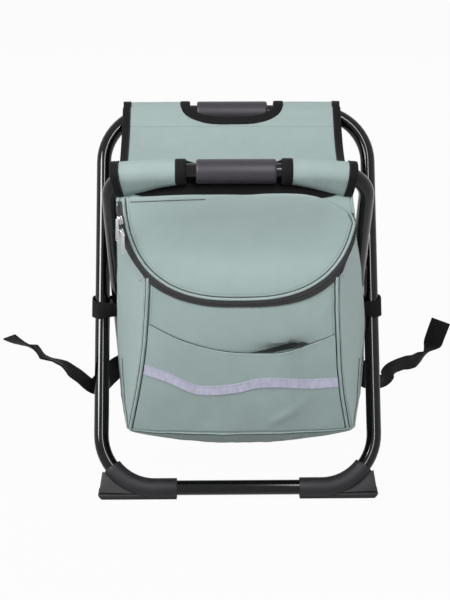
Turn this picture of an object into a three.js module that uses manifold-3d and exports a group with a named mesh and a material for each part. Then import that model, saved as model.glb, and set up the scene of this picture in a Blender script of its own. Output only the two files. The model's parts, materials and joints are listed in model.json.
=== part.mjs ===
// A folding cooler stool: two bent tube frames that cross at a pivot, a fabric sling seat
// between their top bars, and a soft cooler bag that hangs in front of them.
import * as THREE from "three";
import { mergeVertices } from "three/addons/utils/BufferGeometryUtils.js";
import Module from "manifold-3d";

const wasm = await Module();
wasm.setup();

// Sizes are in millimetres. X is to the right seen from the front, Y to the rear, Z up.
// The floor is Z = 0. Shapes are drawn about the pivot, where the two frames cross.

// Gap left between pieces that touch
const CLEARANCE = 0.3;

// Tube frames
const FRAME_WIDTH = 350;
const TUBE_DIAMETER = 18;
const TUBE_WALL = 1.5;
const FRAME_GAP = 3.5;
const UPPER_LEG = 248;
const LOWER_LEG = 225;
const OPEN_HALF_ANGLE = 32;
const OUTER_BEND = 65;
const TUBE_JOINT_GAP = 0.6;
const SPIGOT_LENGTH = 60;
const SPIGOT_BORE = 8;
const PIVOT_BEHIND_MIDDLE = 11;

// Pivot rivets and spacers
const RIVET_SHANK = 6;
const RIVET_HEAD = 11;
const RIVET_HEAD_HEIGHT = 1.4;
const SPACER_DIAMETER = 15;

// Foam grips
const GRIP_LENGTH = 90;
const GRIP_DIAMETER = 28;
const GRIP_ROUND = 2;

// Corner feet
const FOOT_FLOOR = 2.7;
const FOOT_WALL = 2.4;
const FOOT_REACH = 92;
const FOOT_RISE = 25;
const FOOT_BASE_DEPTH = 24;
const FOOT_BASE_HEIGHT = 9;
const FOOT_WEB = 15;
const FOOT_SPREAD = 2;

// Sling seat and the sleeves that hold it on the bars
const SLING_INSET = 28;
const SLING_THICKNESS = 1.6;
const SLING_EDGE_ANGLE = 39;
const SLEEVE_START = 52;
const SLEEVE_DROP = 17;
const SLEEVE_WALL = 1.6;
const SLEEVE_END_SLANT = 14;
const SCALLOP_HALF_WIDTH = 62;
const SCALLOP_DEPTH = 27;

// Cooler bag
const BAG_WALL = 2;
const LINER_THICKNESS = 4;
const BAG_SIDE_GAP = 10;
const BAG_TOP_GAP = 8;
const BAG_SHOULDER_GAP = 1.5;
const BAG_SHOULDER_RISE = 110;
const BAG_WAIST_INSET = 39;
const BAG_FRONT_BOTTOM_INSET = 20;
const BAG_BACK_BOTTOM_INSET = 17;
const BAG_TOP_DROP = 16;
const BAG_TOP_ARCH = 10;
const BAG_FRONT_BOTTOM = 110;
const BAG_BACK_BOTTOM = 138;
const BAG_BOTTOM_SAG = 12;
const BAG_CROWN = 12;

// Lid and zip. The lid's edge is a superellipse that lies in one tilted plane.
const LID_SIDE_GAP = 9.5;
const LID_HEIGHT = 127;
const LID_ROUNDNESS = 2.3;
const LID_FOLD_DROP = 11;
const ZIP_PLANE_PROUD = 9;
const ZIP_TILT = 8.8;
const ZIP_ARC_DROP = 15;
const TAPE_WIDTH = 3;
const TAPE_THICKNESS = 1.6;
const TAPE_PROUD = 1.2;
const LID_TAPE_END = 6;
const SLIDER_LENGTH = 12;
const SLIDER_WIDTH = 7;
const SLIDER_OUTSET = 6.4;
const SLIDER_HEIGHT = 5;
const UPPER_SLIDER_ANGLE = 12.5;
const SLIDER_SPACING_ANGLE = 7;
const PULL_LENGTH = 22;
const PULL_WIDTH = 4;
const PULL_THICKNESS = 1.4;
const PULL_OUTSET = 1;

// Front pocket and its stripe
const POCKET_THICKNESS = 1.6;
const POCKET_SEAT = 0.6;
const POCKET_BULGE = 11;
const POCKET_EDGE = 4;
const POCKET_MOUTH = 5;
const POCKET_MOUTH_RISE = 30;
const STRIPE_WIDTH = 13;
const STRIPE_THICKNESS = 0.8;
const STRIPE_SEAT = 0.4;
const STRIPE_HEIGHT = -38;
const STRIPE_RISE = 12;

// Webbing and straps
const WEBBING_WIDTH = 25;
const WEBBING_THICKNESS = 1.8;
const LOOP_CORNER = 7;
const STRAP_WIDTH = 45;
const STRAP_THICKNESS = 7;
const STRAP_OFFSET = 58;
const STRAP_TOP = 156;
const STRAP_BOTTOM = -40;
const STRAP_BOW = 19;
const BUCKLE_WIDTH = 36;
const BUCKLE_HEIGHT = 30;
const BUCKLE_THICKNESS = 5;
const BUCKLE_SLOT = 5;
const ANCHOR_INSET = 35;
const ANCHOR_HEIGHT = -112;
const TAIL_PASS_HEIGHT = -84;
const TAIL_PASS_DEPTH = -12;
const TAIL_DIP = 9;
const LEFT_TAIL_REACH = 102;
const LEFT_TAIL_DEPTH = -72;
const LEFT_TAIL_HEIGHT = -16;
const RIGHT_TAIL_REACH = 101;
const RIGHT_TAIL_DEPTH = 66;
const RIGHT_TAIL_HEIGHT = -54;

// Facets
const TUBE_SIDES = 12;
const BEND_STEPS = 6;
const FOOT_BEND_STEPS = 3;
const LATHE_SIDES = 20;
const BAG_GRID = [8, 4, 11];

// What follows from the sizes
const radians = THREE.MathUtils.degToRad;
const lerp = THREE.MathUtils.lerp;
const LEAN = radians(OPEN_HALF_ANGLE);
const TUBE_RADIUS = TUBE_DIAMETER / 2;
const OUTER_HALF = FRAME_WIDTH / 2 - TUBE_RADIUS;
const INNER_HALF = OUTER_HALF - TUBE_DIAMETER - FRAME_GAP;
const INNER_BEND = OUTER_BEND - TUBE_DIAMETER - FRAME_GAP;
const OUTER_INSIDE = OUTER_HALF - TUBE_RADIUS;
const INNER_INSIDE = INNER_HALF - TUBE_RADIUS;
const SLING_WIDTH = 2 * (OUTER_HALF - SLING_INSET);
const BAR_Y = UPPER_LEG * Math.sin(LEAN);
const BAR_Z = UPPER_LEG * Math.cos(LEAN);
const FLOOR_BAR_Y = LOWER_LEG * Math.sin(LEAN);
const FLOOR_BAR_Z = -LOWER_LEG * Math.cos(LEAN);
const FLOOR_Z = FLOOR_BAR_Z - TUBE_RADIUS - CLEARANCE - FOOT_FLOOR;
const SLEEVE_BORE = TUBE_RADIUS + CLEARANCE;
const SLEEVE_RADIUS = SLEEVE_BORE + SLEEVE_WALL;
const SLEEVE_END_Y = BAR_Y - SLEEVE_DROP * Math.sin(LEAN);
const SLEEVE_END_Z = BAR_Z - SLEEVE_DROP * Math.cos(LEAN);
const LOOP_HALF_DEPTH =
  TUBE_RADIUS / Math.cos(LEAN) + (WEBBING_WIDTH / 2) * Math.tan(LEAN) + 2 * CLEARANCE;
const BAG_BACK_Y = -(LOOP_HALF_DEPTH + WEBBING_THICKNESS + CLEARANCE);
const BAG_TOP = BAR_Z - BAG_TOP_DROP;
const BAG_TOP_BACK_Z = SLEEVE_END_Z - SLEEVE_RADIUS - 5 * CLEARANCE;
const BAG_MID_HALF = OUTER_INSIDE - BAG_SIDE_GAP;
const BAG_WAIST_HALF = BAG_MID_HALF - BAG_WAIST_INSET;
const BAG_FRONT_BOTTOM_HALF = BAG_MID_HALF - BAG_FRONT_BOTTOM_INSET;
const BAG_BACK_BOTTOM_HALF = BAG_MID_HALF - BAG_BACK_BOTTOM_INSET;
const ANCHOR_OUT = BAG_MID_HALF - ANCHOR_INSET;
const LID_HALF_WIDTH = INNER_INSIDE - LID_SIDE_GAP;
const LID_TAPE_START = CLEARANCE;
const BODY_TAPE_START = LID_TAPE_START + TAPE_WIDTH + CLEARANCE;
const OPENING_START = BODY_TAPE_START + TAPE_WIDTH + CLEARANCE;
const ZIP_LEAN = radians(ZIP_TILT);
const ZIP_CENTRE_Z = BAR_Z - ZIP_ARC_DROP;
const ZIP_CENTRE_Y = -(BAR_Y + ZIP_PLANE_PROUD);
const ZIP_RADIUS = LID_HALF_WIDTH + BODY_TAPE_START;
const ZIP_HEIGHT = LID_HEIGHT + BODY_TAPE_START;
const LID_FOLD = -(LID_FOLD_DROP / Math.cos(ZIP_LEAN));

// Materials

function material(color, roughness, metalness = 0) {
  return new THREE.MeshStandardMaterial({ color, roughness, metalness });
}

const blackPaint = () => material(0x141416, 0.25, 0.3);
const steel = () => material(0xb9bcc0, 0.35, 1);
const nylon = () => material(0x202022, 0.6);
const foam = () => material(0x55505a, 0.75);
const footPlastic = () => material(0x3c3c40, 0.6);
const mintFabric = () => material(0xa3bab6, 0.9);
const foil = () => material(0xc9ced0, 0.35, 0.2);
const blackTape = () => material(0x26292b, 0.85);
const lilacTape = () => material(0xb4acc4, 0.7);
const blackWebbing = () => material(0x222223, 0.85);

// Solids

function closedMesh(geometry) {
  const bare = geometry.clone();
  bare.deleteAttribute("normal");
  bare.deleteAttribute("uv");
  return mergeVertices(bare, 1e-4);
}

function flipFaces(geometry) {
  const corners = geometry.index.array;
  for (let i = 0; i < corners.length; i += 3) {
    const first = corners[i];
    corners[i] = corners[i + 1];
    corners[i + 1] = first;
  }
  return geometry;
}

function signedVolume(geometry) {
  const points = geometry.attributes.position;
  const corners = geometry.index.array;
  const a = new THREE.Vector3();
  const b = new THREE.Vector3();
  const c = new THREE.Vector3();
  let volume = 0;
  for (let i = 0; i < corners.length; i += 3) {
    a.fromBufferAttribute(points, corners[i]);
    b.fromBufferAttribute(points, corners[i + 1]);
    c.fromBufferAttribute(points, corners[i + 2]);
    volume += a.dot(b.cross(c)) / 6;
  }
  return volume;
}

// The geometry with its shared corners merged and its faces pointing out
function outward(geometry) {
  const mesh = closedMesh(geometry);
  return signedVolume(mesh) < 0 ? flipFaces(mesh) : mesh;
}

function solidOf(geometry) {
  const mesh = outward(geometry);
  return new wasm.Manifold(
    new wasm.Mesh({
      numProp: 3,
      vertProperties: new Float32Array(mesh.attributes.position.array),
      triVerts: new Uint32Array(mesh.index.array),
    }),
  );
}

function geometryOf(solid) {
  const mesh = solid.getMesh();
  const geometry = new THREE.BufferGeometry();
  geometry.setAttribute("position", new THREE.BufferAttribute(mesh.vertProperties, 3));
  geometry.setIndex(new THREE.BufferAttribute(mesh.triVerts, 1));
  return geometry;
}

function mirrored(geometry) {
  return outward(geometry.clone().scale(-1, 1, 1));
}

// A box whose points, each coordinate from -1 to 1, are moved to the places that a function gives
function warpedBox(across, deep, high, place) {
  const box = closedMesh(new THREE.BoxGeometry(2, 2, 2, across, deep, high));
  const points = box.attributes.position;
  for (let i = 0; i < points.count; i += 1) {
    const place_i = place(points.getX(i), points.getY(i), points.getZ(i));
    points.setXYZ(i, place_i.x, place_i.y, place_i.z);
  }
  return box;
}

function straightExtrude(shape, depth, curveSegments = 6) {
  return new THREE.ExtrudeGeometry(shape, { depth, curveSegments, bevelEnabled: false });
}

// Turns a shape drawn in X and Y so that it stands in the Y-Z plane and is extruded along X
const alongX = new THREE.Matrix4().makeBasis(
  new THREE.Vector3(0, 1, 0),
  new THREE.Vector3(0, 0, 1),
  new THREE.Vector3(1, 0, 0),
);

// Turns a shape drawn in X and Y so that it stands in the X-Z plane and is extruded along -Y
const alongMinusY = new THREE.Matrix4().makeRotationX(Math.PI / 2);

function roundSection(outer, inner = 0) {
  const section = new THREE.Shape();
  section.absarc(0, 0, outer, 0, 2 * Math.PI);
  if (inner > 0) {
    const bore = new THREE.Path();
    bore.absarc(0, 0, inner, 0, 2 * Math.PI, true);
    section.holes.push(bore);
  }
  return section;
}

// A path that is given station by station, so that straight runs take one step
class StationPath extends THREE.Curve {
  constructor(stations) {
    super();
    this.stations = stations;
    this.steps = stations.length - 1;
  }

  getPointAt(share) {
    return this.stations[Math.round(share * this.steps)].point.clone();
  }

  getTangentAt(share) {
    return this.stations[Math.round(share * this.steps)].tangent.clone();
  }
}

function station(x, z, tangentX, tangentZ) {
  return { point: new THREE.Vector3(x, 0, z), tangent: new THREE.Vector3(tangentX, 0, tangentZ) };
}

// Stations round a quarter bend, clockwise seen from the front, from a start angle in degrees
function bendStations(centreX, centreZ, radius, startAngle) {
  return Array.from({ length: BEND_STEPS + 1 }, (_, i) => {
    const angle = radians(startAngle - (90 * i) / BEND_STEPS);
    const cos = Math.cos(angle);
    const sin = Math.sin(angle);
    return station(centreX + radius * cos, centreZ + radius * sin, sin, -cos);
  });
}

function tubeAlong(stations, outer, inner = 0) {
  const path = new StationPath(stations);
  return new THREE.ExtrudeGeometry(roundSection(outer, inner), {
    steps: path.steps,
    curveSegments: TUBE_SIDES / 2,
    extrudePath: path,
  });
}

function cylinderAlongX(radius, length, sides = TUBE_SIDES) {
  return new THREE.CylinderGeometry(radius, radius, length, sides).rotateZ(Math.PI / 2);
}

function latheAlongX(profile) {
  const points = profile.map(([radius, along]) => new THREE.Vector2(radius, along));
  return outward(new THREE.LatheGeometry(points, LATHE_SIDES).rotateZ(-Math.PI / 2));
}

// The tree of groups. Each frame's group leans about the pivot, with its legs along its own Z.
const stool = new THREE.Group();
const pivot = new THREE.Group();
pivot.position.set(0, PIVOT_BEHIND_MIDDLE, -FLOOR_Z);
stool.add(pivot);
const outerFrame = new THREE.Group();
outerFrame.rotation.x = -LEAN;
const innerFrame = new THREE.Group();
innerFrame.rotation.x = LEAN;
const zipPlane = new THREE.Group();
zipPlane.position.set(0, ZIP_CENTRE_Y, ZIP_CENTRE_Z);
zipPlane.rotation.x = -ZIP_LEAN;
pivot.add(outerFrame, innerFrame, zipPlane);

function addPiece(group, name, geometry, finish) {
  const piece = new THREE.Mesh(outward(geometry), finish);
  piece.name = name;
  group.add(piece);
  return piece;
}

// Frame tubes: rounded rectangles that start and end at a butt joint under the grip

function frameStations(halfWidth, bend) {
  const side = halfWidth - bend;
  const top = UPPER_LEG - bend;
  const bottom = -LOWER_LEG + bend;
  return [
    station(TUBE_JOINT_GAP / 2, UPPER_LEG, 1, 0),
    ...bendStations(side, top, bend, 90),
    ...bendStations(side, bottom, bend, 0),
    ...bendStations(-side, bottom, bend, -90),
    ...bendStations(-side, top, bend, -180),
    station(-TUBE_JOINT_GAP / 2, UPPER_LEG, 1, 0),
  ];
}

function frameTube(halfWidth, bend) {
  const tube = solidOf(tubeAlong(frameStations(halfWidth, bend), TUBE_RADIUS, TUBE_RADIUS - TUBE_WALL));
  const holes = solidOf(cylinderAlongX(RIVET_SHANK / 2 + CLEARANCE, FRAME_WIDTH + TUBE_DIAMETER));
  return geometryOf(tube.subtract(holes));
}

const spigotRadius = TUBE_RADIUS - TUBE_WALL - CLEARANCE;

function spigot() {
  const bar = straightExtrude(roundSection(spigotRadius, SPIGOT_BORE / 2), SPIGOT_LENGTH);
  return bar.applyMatrix4(alongX).translate(-SPIGOT_LENGTH / 2, 0, UPPER_LEG);
}

function grip() {
  const outer = GRIP_DIAMETER / 2;
  const inner = TUBE_RADIUS + CLEARANCE;
  const end = GRIP_LENGTH / 2;
  return latheAlongX([
    [inner, -end],
    [outer - GRIP_ROUND, -end],
    [outer, -end + GRIP_ROUND],
    [outer, end - GRIP_ROUND],
    [outer - GRIP_ROUND, end],
    [inner, end],
    [inner, -end],
  ]).translate(0, 0, UPPER_LEG);
}

addPiece(outerFrame, "outer_frame_tube", frameTube(OUTER_HALF, OUTER_BEND), blackPaint());
addPiece(innerFrame, "inner_frame_tube", frameTube(INNER_HALF, INNER_BEND), blackPaint());
addPiece(outerFrame, "outer_tube_spigot", spigot(), steel());
addPiece(innerFrame, "inner_tube_spigot", spigot(), steel());
addPiece(outerFrame, "rear_grip", grip(), foam());
addPiece(innerFrame, "front_grip", grip(), foam());

// Pivots: a rivet through both tubes, with a spacer between them

function pivotRivet() {
  const head = RIVET_HEAD / 2;
  const shank = RIVET_SHANK / 2;
  const start = INNER_INSIDE - CLEARANCE;
  const end = OUTER_HALF + TUBE_RADIUS + CLEARANCE;
  const crown = 0.7 * head;
  return latheAlongX([
    [0, start - RIVET_HEAD_HEIGHT],
    [crown, start - RIVET_HEAD_HEIGHT],
    [head, start - RIVET_HEAD_HEIGHT / 2],
    [head, start],
    [shank, start],
    [shank, end],
    [head, end],
    [head, end + RIVET_HEAD_HEIGHT / 2],
    [crown, end + RIVET_HEAD_HEIGHT],
    [0, end + RIVET_HEAD_HEIGHT],
  ]);
}

function pivotSpacer() {
  const start = INNER_HALF + TUBE_RADIUS + CLEARANCE;
  const end = OUTER_INSIDE - CLEARANCE;
  const bore = RIVET_SHANK / 2 + CLEARANCE;
  const rim = SPACER_DIAMETER / 2;
  return latheAlongX([
    [bore, start],
    [rim, start],
    [rim, end],
    [bore, end],
    [bore, start],
  ]);
}

addPiece(pivot, "right_pivot_rivet", pivotRivet(), steel());
addPiece(pivot, "left_pivot_rivet", mirrored(pivotRivet()), steel());
addPiece(pivot, "right_pivot_spacer", pivotSpacer(), nylon());
addPiece(pivot, "left_pivot_spacer", mirrored(pivotSpacer()), nylon());

// Corner feet: a sleeve round the tube's bend, a web that fills the corner, and a flat base

function footStations(halfWidth, bend, extraReach, bendSteps) {
  const side = halfWidth - bend;
  const bottom = -LOWER_LEG + bend;
  const start = halfWidth + FOOT_SPREAD - FOOT_REACH - extraReach;
  const rising = bendStations(side, bottom, bend, 0).reverse();
  return [station(start, -LOWER_LEG, -1, 0), ...rising.slice(0, bendSteps + 1)].map((s) => ({
    point: s.point,
    tangent: s.tangent.negate(),
  }));
}

// The right foot of a frame that leans by the given angle, about the pivot
function rightFoot(halfWidth, bend, lean) {
  const sleeveRadius = TUBE_RADIUS + CLEARANCE + FOOT_WALL;
  const side = halfWidth - bend;
  const outerEdge = bend + TUBE_RADIUS;
  const rise = -LOWER_LEG + FOOT_RISE;
  const drop = bend - FOOT_RISE;
  const tip = side + Math.sqrt(outerEdge * outerEdge - drop * drop);
  const low = -LOWER_LEG - TUBE_DIAMETER;
  const baseEnd = halfWidth + FOOT_SPREAD;
  const web = new THREE.Shape([
    new THREE.Vector2(side, -LOWER_LEG),
    new THREE.Vector2(side, low),
    new THREE.Vector2(baseEnd, low),
    new THREE.Vector2(tip, rise),
  ]);
  const sleeve = tubeAlong(footStations(halfWidth, bend, 0, FOOT_BEND_STEPS), sleeveRadius);
  const channel = tubeAlong(
    footStations(halfWidth, bend, FOOT_WALL, BEND_STEPS),
    TUBE_RADIUS + CLEARANCE,
  );
  const webPlate = straightExtrude(web, FOOT_WEB).applyMatrix4(alongMinusY).translate(0, FOOT_WEB / 2, 0);
  const barY = LOWER_LEG * Math.sin(lean);
  const base = new THREE.BoxGeometry(FOOT_REACH, FOOT_BASE_DEPTH, FOOT_BASE_HEIGHT);
  base.translate(baseEnd - FOOT_REACH / 2, barY, FLOOR_Z + FOOT_BASE_HEIGHT / 2);
  const underFloor = new THREE.BoxGeometry(FRAME_WIDTH, FRAME_WIDTH, FRAME_WIDTH);
  underFloor.translate(halfWidth, barY, FLOOR_Z - FRAME_WIDTH / 2);
  const leant = solidOf(sleeve.rotateX(lean)).add(solidOf(webPlate.rotateX(lean)));
  const body = leant.add(solidOf(base)).subtract(solidOf(underFloor));
  return geometryOf(body.subtract(solidOf(channel.rotateX(lean))));
}

const frontFoot = rightFoot(OUTER_HALF, OUTER_BEND, -LEAN);
const rearFoot = rightFoot(INNER_HALF, INNER_BEND, LEAN);
addPiece(pivot, "front_right_foot", frontFoot, footPlastic());
addPiece(pivot, "front_left_foot", mirrored(frontFoot), footPlastic());
addPiece(pivot, "rear_right_foot", rearFoot, footPlastic());
addPiece(pivot, "rear_left_foot", mirrored(rearFoot), footPlastic());

// Seat sleeves: slack fabric rings round a bar, deep enough for the tube's bend, with slanted ends

function stadium(path, radius, drop) {
  path.absarc(0, 0, radius, 0, Math.PI);
  path.absarc(0, -drop, radius, Math.PI, 2 * Math.PI);
  path.closePath();
  return path;
}

function rightSleeve() {
  const section = stadium(new THREE.Shape(), SLEEVE_RADIUS, SLEEVE_DROP);
  section.holes.push(stadium(new THREE.Path(), SLEEVE_BORE, SLEEVE_DROP));
  const length = SLING_WIDTH / 2 - SLEEVE_START;
  const ring = straightExtrude(section, length, 4);
  ring.applyMatrix4(alongX).translate(SLEEVE_START, 0, 0);
  const past = new THREE.BoxGeometry(SLING_WIDTH, SLING_WIDTH, SLING_WIDTH);
  past.translate(SLING_WIDTH / 2, 0, 0).rotateY(radians(SLEEVE_END_SLANT));
  past.translate(SLING_WIDTH / 2, 0, SLEEVE_RADIUS);
  return geometryOf(solidOf(ring).subtract(solidOf(past))).translate(0, 0, UPPER_LEG);
}

addPiece(outerFrame, "rear_right_seat_sleeve", rightSleeve(), mintFabric());
addPiece(outerFrame, "rear_left_seat_sleeve", mirrored(rightSleeve()), mintFabric());
addPiece(innerFrame, "front_right_seat_sleeve", rightSleeve(), mintFabric());
addPiece(innerFrame, "front_left_seat_sleeve", mirrored(rightSleeve()), mintFabric());

// Seat panel: a slack sling that leaves each sleeve at the edge angle, scalloped at the grips

function seatPanel() {
  const edgeAngle = radians(SLING_EDGE_ANGLE);
  const stand = SLEEVE_RADIUS + CLEARANCE + SLING_THICKNESS / 2;
  const endY = BAR_Y - stand * Math.sin(edgeAngle);
  const endZ = BAR_Z + stand * Math.cos(edgeAngle);
  const sag = (endY * Math.tan(edgeAngle)) / 2;
  const panel = warpedBox(6, 14, 1, (u, v, w) => {
    const slope = Math.atan2(2 * sag * v, endY);
    const lift = (w * SLING_THICKNESS) / 2;
    return new THREE.Vector3(
      (u * SLING_WIDTH) / 2,
      endY * v - lift * Math.sin(slope),
      endZ - sag * (1 - v * v) + lift * Math.cos(slope),
    );
  });
  const scallop = new THREE.Shape();
  scallop.absellipse(0, 0, SCALLOP_HALF_WIDTH, SCALLOP_DEPTH, 0, 2 * Math.PI);
  const cutter = straightExtrude(scallop, UPPER_LEG, 12);
  const rear = solidOf(cutter.clone().translate(0, BAR_Y, 0));
  const front = solidOf(cutter.clone().translate(0, -BAR_Y, 0));
  return geometryOf(solidOf(panel).subtract(rear).subtract(front));
}

addPiece(pivot, "seat_panel", seatPanel(), mintFabric());

// Bag shape. Its front is a shallow dome whose zero line lies in the tilted zip plane.

function interpolate(table, at) {
  const last = table.length - 1;
  if (at <= table[0][0]) return table[0][1];
  if (at >= table[last][0]) return table[last][1];
  const i = table.findIndex(([place]) => place >= at);
  const [lowPlace, lowValue] = table[i - 1];
  const [highPlace, highValue] = table[i];
  return lerp(lowValue, highValue, (at - lowPlace) / (highPlace - lowPlace));
}

function bagFront(x, z) {
  const below = ZIP_CENTRE_Z - z;
  const planeY = ZIP_CENTRE_Y - below * Math.tan(ZIP_LEAN);
  const alongPlane = below / Math.cos(ZIP_LEAN);
  const reach = (x / ZIP_RADIUS) ** 2 + (alongPlane / ZIP_HEIGHT) ** 2;
  return planeY - BAG_CROWN * (1 - reach);
}

function bagBack(z) {
  return interpolate([[0, BAG_BACK_Y], [BAG_TOP_BACK_Z, -SLEEVE_END_Y]], z);
}

// Half the lid's width at a height, where the lid reaches that height
function lidHalfWidth(z) {
  const share = Math.min(1, Math.abs(ZIP_CENTRE_Z - z) / LID_HEIGHT);
  return LID_HALF_WIDTH * (1 - share ** LID_ROUNDNESS) ** (1 / LID_ROUNDNESS);
}

function bagFrontHalf(z) {
  const panel = interpolate([[-BAG_FRONT_BOTTOM, BAG_FRONT_BOTTOM_HALF], [0, BAG_WAIST_HALF]], z);
  return Math.max(panel, lidHalfWidth(z) + OPENING_START + BAG_WALL + CLEARANCE);
}

function bagBackHalf(z) {
  const table = [
    [-BAG_BACK_BOTTOM, BAG_BACK_BOTTOM_HALF],
    [0, BAG_MID_HALF],
    [BAG_SHOULDER_RISE / 2, BAG_MID_HALF],
    [BAG_SHOULDER_RISE, INNER_INSIDE - BAG_SHOULDER_GAP],
    [BAG_TOP_BACK_Z, INNER_INSIDE - BAG_TOP_GAP],
  ];
  return interpolate(table, z);
}

// The bag's outer form, drawn in by an inset on every side
function bagForm(inset) {
  return warpedBox(...BAG_GRID, (u, v, w) => {
    const rise = (w + 1) / 2;
    const back = (v + 1) / 2;
    const arch = BAG_TOP_ARCH * u * u;
    const frontZ = lerp(-BAG_FRONT_BOTTOM + inset, BAG_TOP - arch - inset, rise);
    const backZ = lerp(-BAG_BACK_BOTTOM + inset, BAG_TOP_BACK_Z - inset, rise);
    const frontX = u * (bagFrontHalf(frontZ) - inset);
    const backX = u * (bagBackHalf(backZ) - inset);
    const frontY = bagFront(frontX, frontZ) + inset;
    const backY = bagBack(backZ) - inset;
    const sag = BAG_BOTTOM_SAG * (1 - v * v) * (1 - rise) ** 3;
    return new THREE.Vector3(
      lerp(frontX, backX, back),
      lerp(frontY, backY, back),
      lerp(frontZ, backZ, back) - sag,
    );
  });
}

// Points of the lid's curved edge, moved out by an offset, from its left fold to its right fold,
// in the zip plane's own X and Z
function lidEdge(offset, fold) {
  const width = LID_HALF_WIDTH + offset;
  const height = LID_HEIGHT + offset;
  const power = 2 / LID_ROUNDNESS;
  const start = Math.asin((-fold / height) ** (1 / power));
  const steps = 32;
  return Array.from({ length: steps + 1 }, (_, i) => {
    const angle = lerp(Math.PI - start, start, i / steps);
    const cos = Math.cos(angle);
    const x = width * Math.sign(cos) * Math.abs(cos) ** power;
    return new THREE.Vector2(x, -height * Math.sin(angle) ** power);
  });
}

// A prism through the bag's front, square to the zip plane, inside the lid's edge
function lidPrism(offset, fold, depthBehind) {
  const ahead = 3 * BAG_CROWN;
  const prism = straightExtrude(new THREE.Shape(lidEdge(offset, fold)), ahead + depthBehind);
  prism.applyMatrix4(alongMinusY).translate(0, depthBehind, 0);
  return solidOf(prism.rotateX(-ZIP_LEAN).translate(0, ZIP_CENTRE_Y, ZIP_CENTRE_Z));
}

const outerForm = solidOf(bagForm(0));
const fabricInside = solidOf(bagForm(BAG_WALL));
const linerOutside = solidOf(bagForm(BAG_WALL + CLEARANCE));
const linerInside = solidOf(bagForm(BAG_WALL + CLEARANCE + LINER_THICKNESS));
const fabricShell = outerForm.subtract(fabricInside);
const linerShell = linerOutside.subtract(linerInside);
const fabricDepth = BAG_WALL + 3;
const linerDepth = BAG_WALL + LINER_THICKNESS + 3;
const foldGap = 2 * CLEARANCE;
const bagOpening = lidPrism(OPENING_START, LID_FOLD + foldGap, fabricDepth);
const linerOpening = lidPrism(LINER_THICKNESS, LID_FOLD, linerDepth);

addPiece(pivot, "bag_body", geometryOf(fabricShell.subtract(bagOpening)), mintFabric());
addPiece(pivot, "cooler_liner", geometryOf(linerShell.subtract(linerOpening)), foil());
const lidPanel = fabricShell.intersect(lidPrism(0, LID_FOLD, fabricDepth));
addPiece(pivot, "lid_panel", geometryOf(lidPanel), mintFabric());
const lidFoam = linerShell.intersect(lidPrism(-LINER_THICKNESS, LID_FOLD - 2 * LINER_THICKNESS, linerDepth));
addPiece(pivot, "lid_insulation", geometryOf(lidFoam), foil());

// Zip tapes: bands between the lid's edge and the opening's edge. The lid's band ends below the fold.

function zipTape(start, end) {
  const outer = lidEdge(start + TAPE_WIDTH, end);
  const inner = lidEdge(start, end).reverse();
  const band = straightExtrude(new THREE.Shape([...outer, ...inner]), TAPE_THICKNESS);
  return band.applyMatrix4(alongMinusY).translate(0, TAPE_THICKNESS - TAPE_PROUD, 0);
}

addPiece(zipPlane, "lid_zip_tape", zipTape(LID_TAPE_START, LID_FOLD - LID_TAPE_END), blackTape());
addPiece(zipPlane, "body_zip_tape", zipTape(BODY_TAPE_START, LID_FOLD), blackTape());

// Zip sliders ride on the tapes, on a circle about the zip plane's centre, each with a hanging pull.
// The two pulls hang side by side.

const sliderFront = -TAPE_PROUD - CLEARANCE;

function zipSlider() {
  const slider = solidOf(new THREE.BoxGeometry(SLIDER_WIDTH, SLIDER_HEIGHT, SLIDER_LENGTH));
  const waist = solidOf(new THREE.BoxGeometry(SLIDER_WIDTH, SLIDER_HEIGHT, SLIDER_LENGTH / 4));
  const left = waist.translate([-0.85 * SLIDER_WIDTH, 0, -SLIDER_LENGTH / 4]);
  const right = waist.translate([0.85 * SLIDER_WIDTH, 0, -SLIDER_LENGTH / 4]);
  return geometryOf(slider.subtract(left).subtract(right)).translate(0, sliderFront - SLIDER_HEIGHT / 2, 0);
}

function zipPull(sideways) {
  const end = PULL_WIDTH / 2;
  const outline = new THREE.Shape();
  outline.moveTo(-end, 0);
  outline.lineTo(-end, -PULL_LENGTH + end);
  outline.absarc(0, -PULL_LENGTH + end, end, Math.PI, 2 * Math.PI);
  outline.lineTo(end, 0);
  outline.closePath();
  const pull = straightExtrude(outline, PULL_THICKNESS, 4).applyMatrix4(alongMinusY);
  return pull.translate(sideways, sliderFront - SLIDER_HEIGHT - CLEARANCE, SLIDER_LENGTH / 4);
}

function addSlider(name, angle, pullSideways) {
  const arm = new THREE.Group();
  arm.rotation.y = -radians(angle);
  zipPlane.add(arm);
  const carriage = new THREE.Group();
  carriage.position.x = -ZIP_RADIUS - SLIDER_OUTSET;
  arm.add(carriage);
  addPiece(carriage, `${name}_zip_slider`, zipSlider(), steel());
  addPiece(carriage, `${name}_zip_pull`, zipPull(pullSideways), steel());
}

const pullOffset = PULL_WIDTH / 2 + CLEARANCE;
addSlider("upper", UPPER_SLIDER_ANGLE, -pullOffset - PULL_OUTSET);
addSlider("lower", UPPER_SLIDER_ANGLE + SLIDER_SPACING_ANGLE, pullOffset - PULL_OUTSET);

// Front pocket: a panel sewn over the bag's lower front, standing off it at the mouth

const pocketBottom = -BAG_FRONT_BOTTOM + POCKET_EDGE;

function pocketMouth(share) {
  return POCKET_MOUTH + POCKET_MOUTH_RISE * share * share;
}

// The pocket's back face, at a share of its half width and at a height
function pocketBack(x, z) {
  const share = x / (bagFrontHalf(z) - POCKET_EDGE);
  const rise = THREE.MathUtils.clamp((z - pocketBottom) / (pocketMouth(share) - pocketBottom), 0, 1);
  const slack = POCKET_BULGE * Math.max(0, 1 - share ** 4) * rise;
  return bagFront(x, z) - POCKET_SEAT - slack;
}

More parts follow.
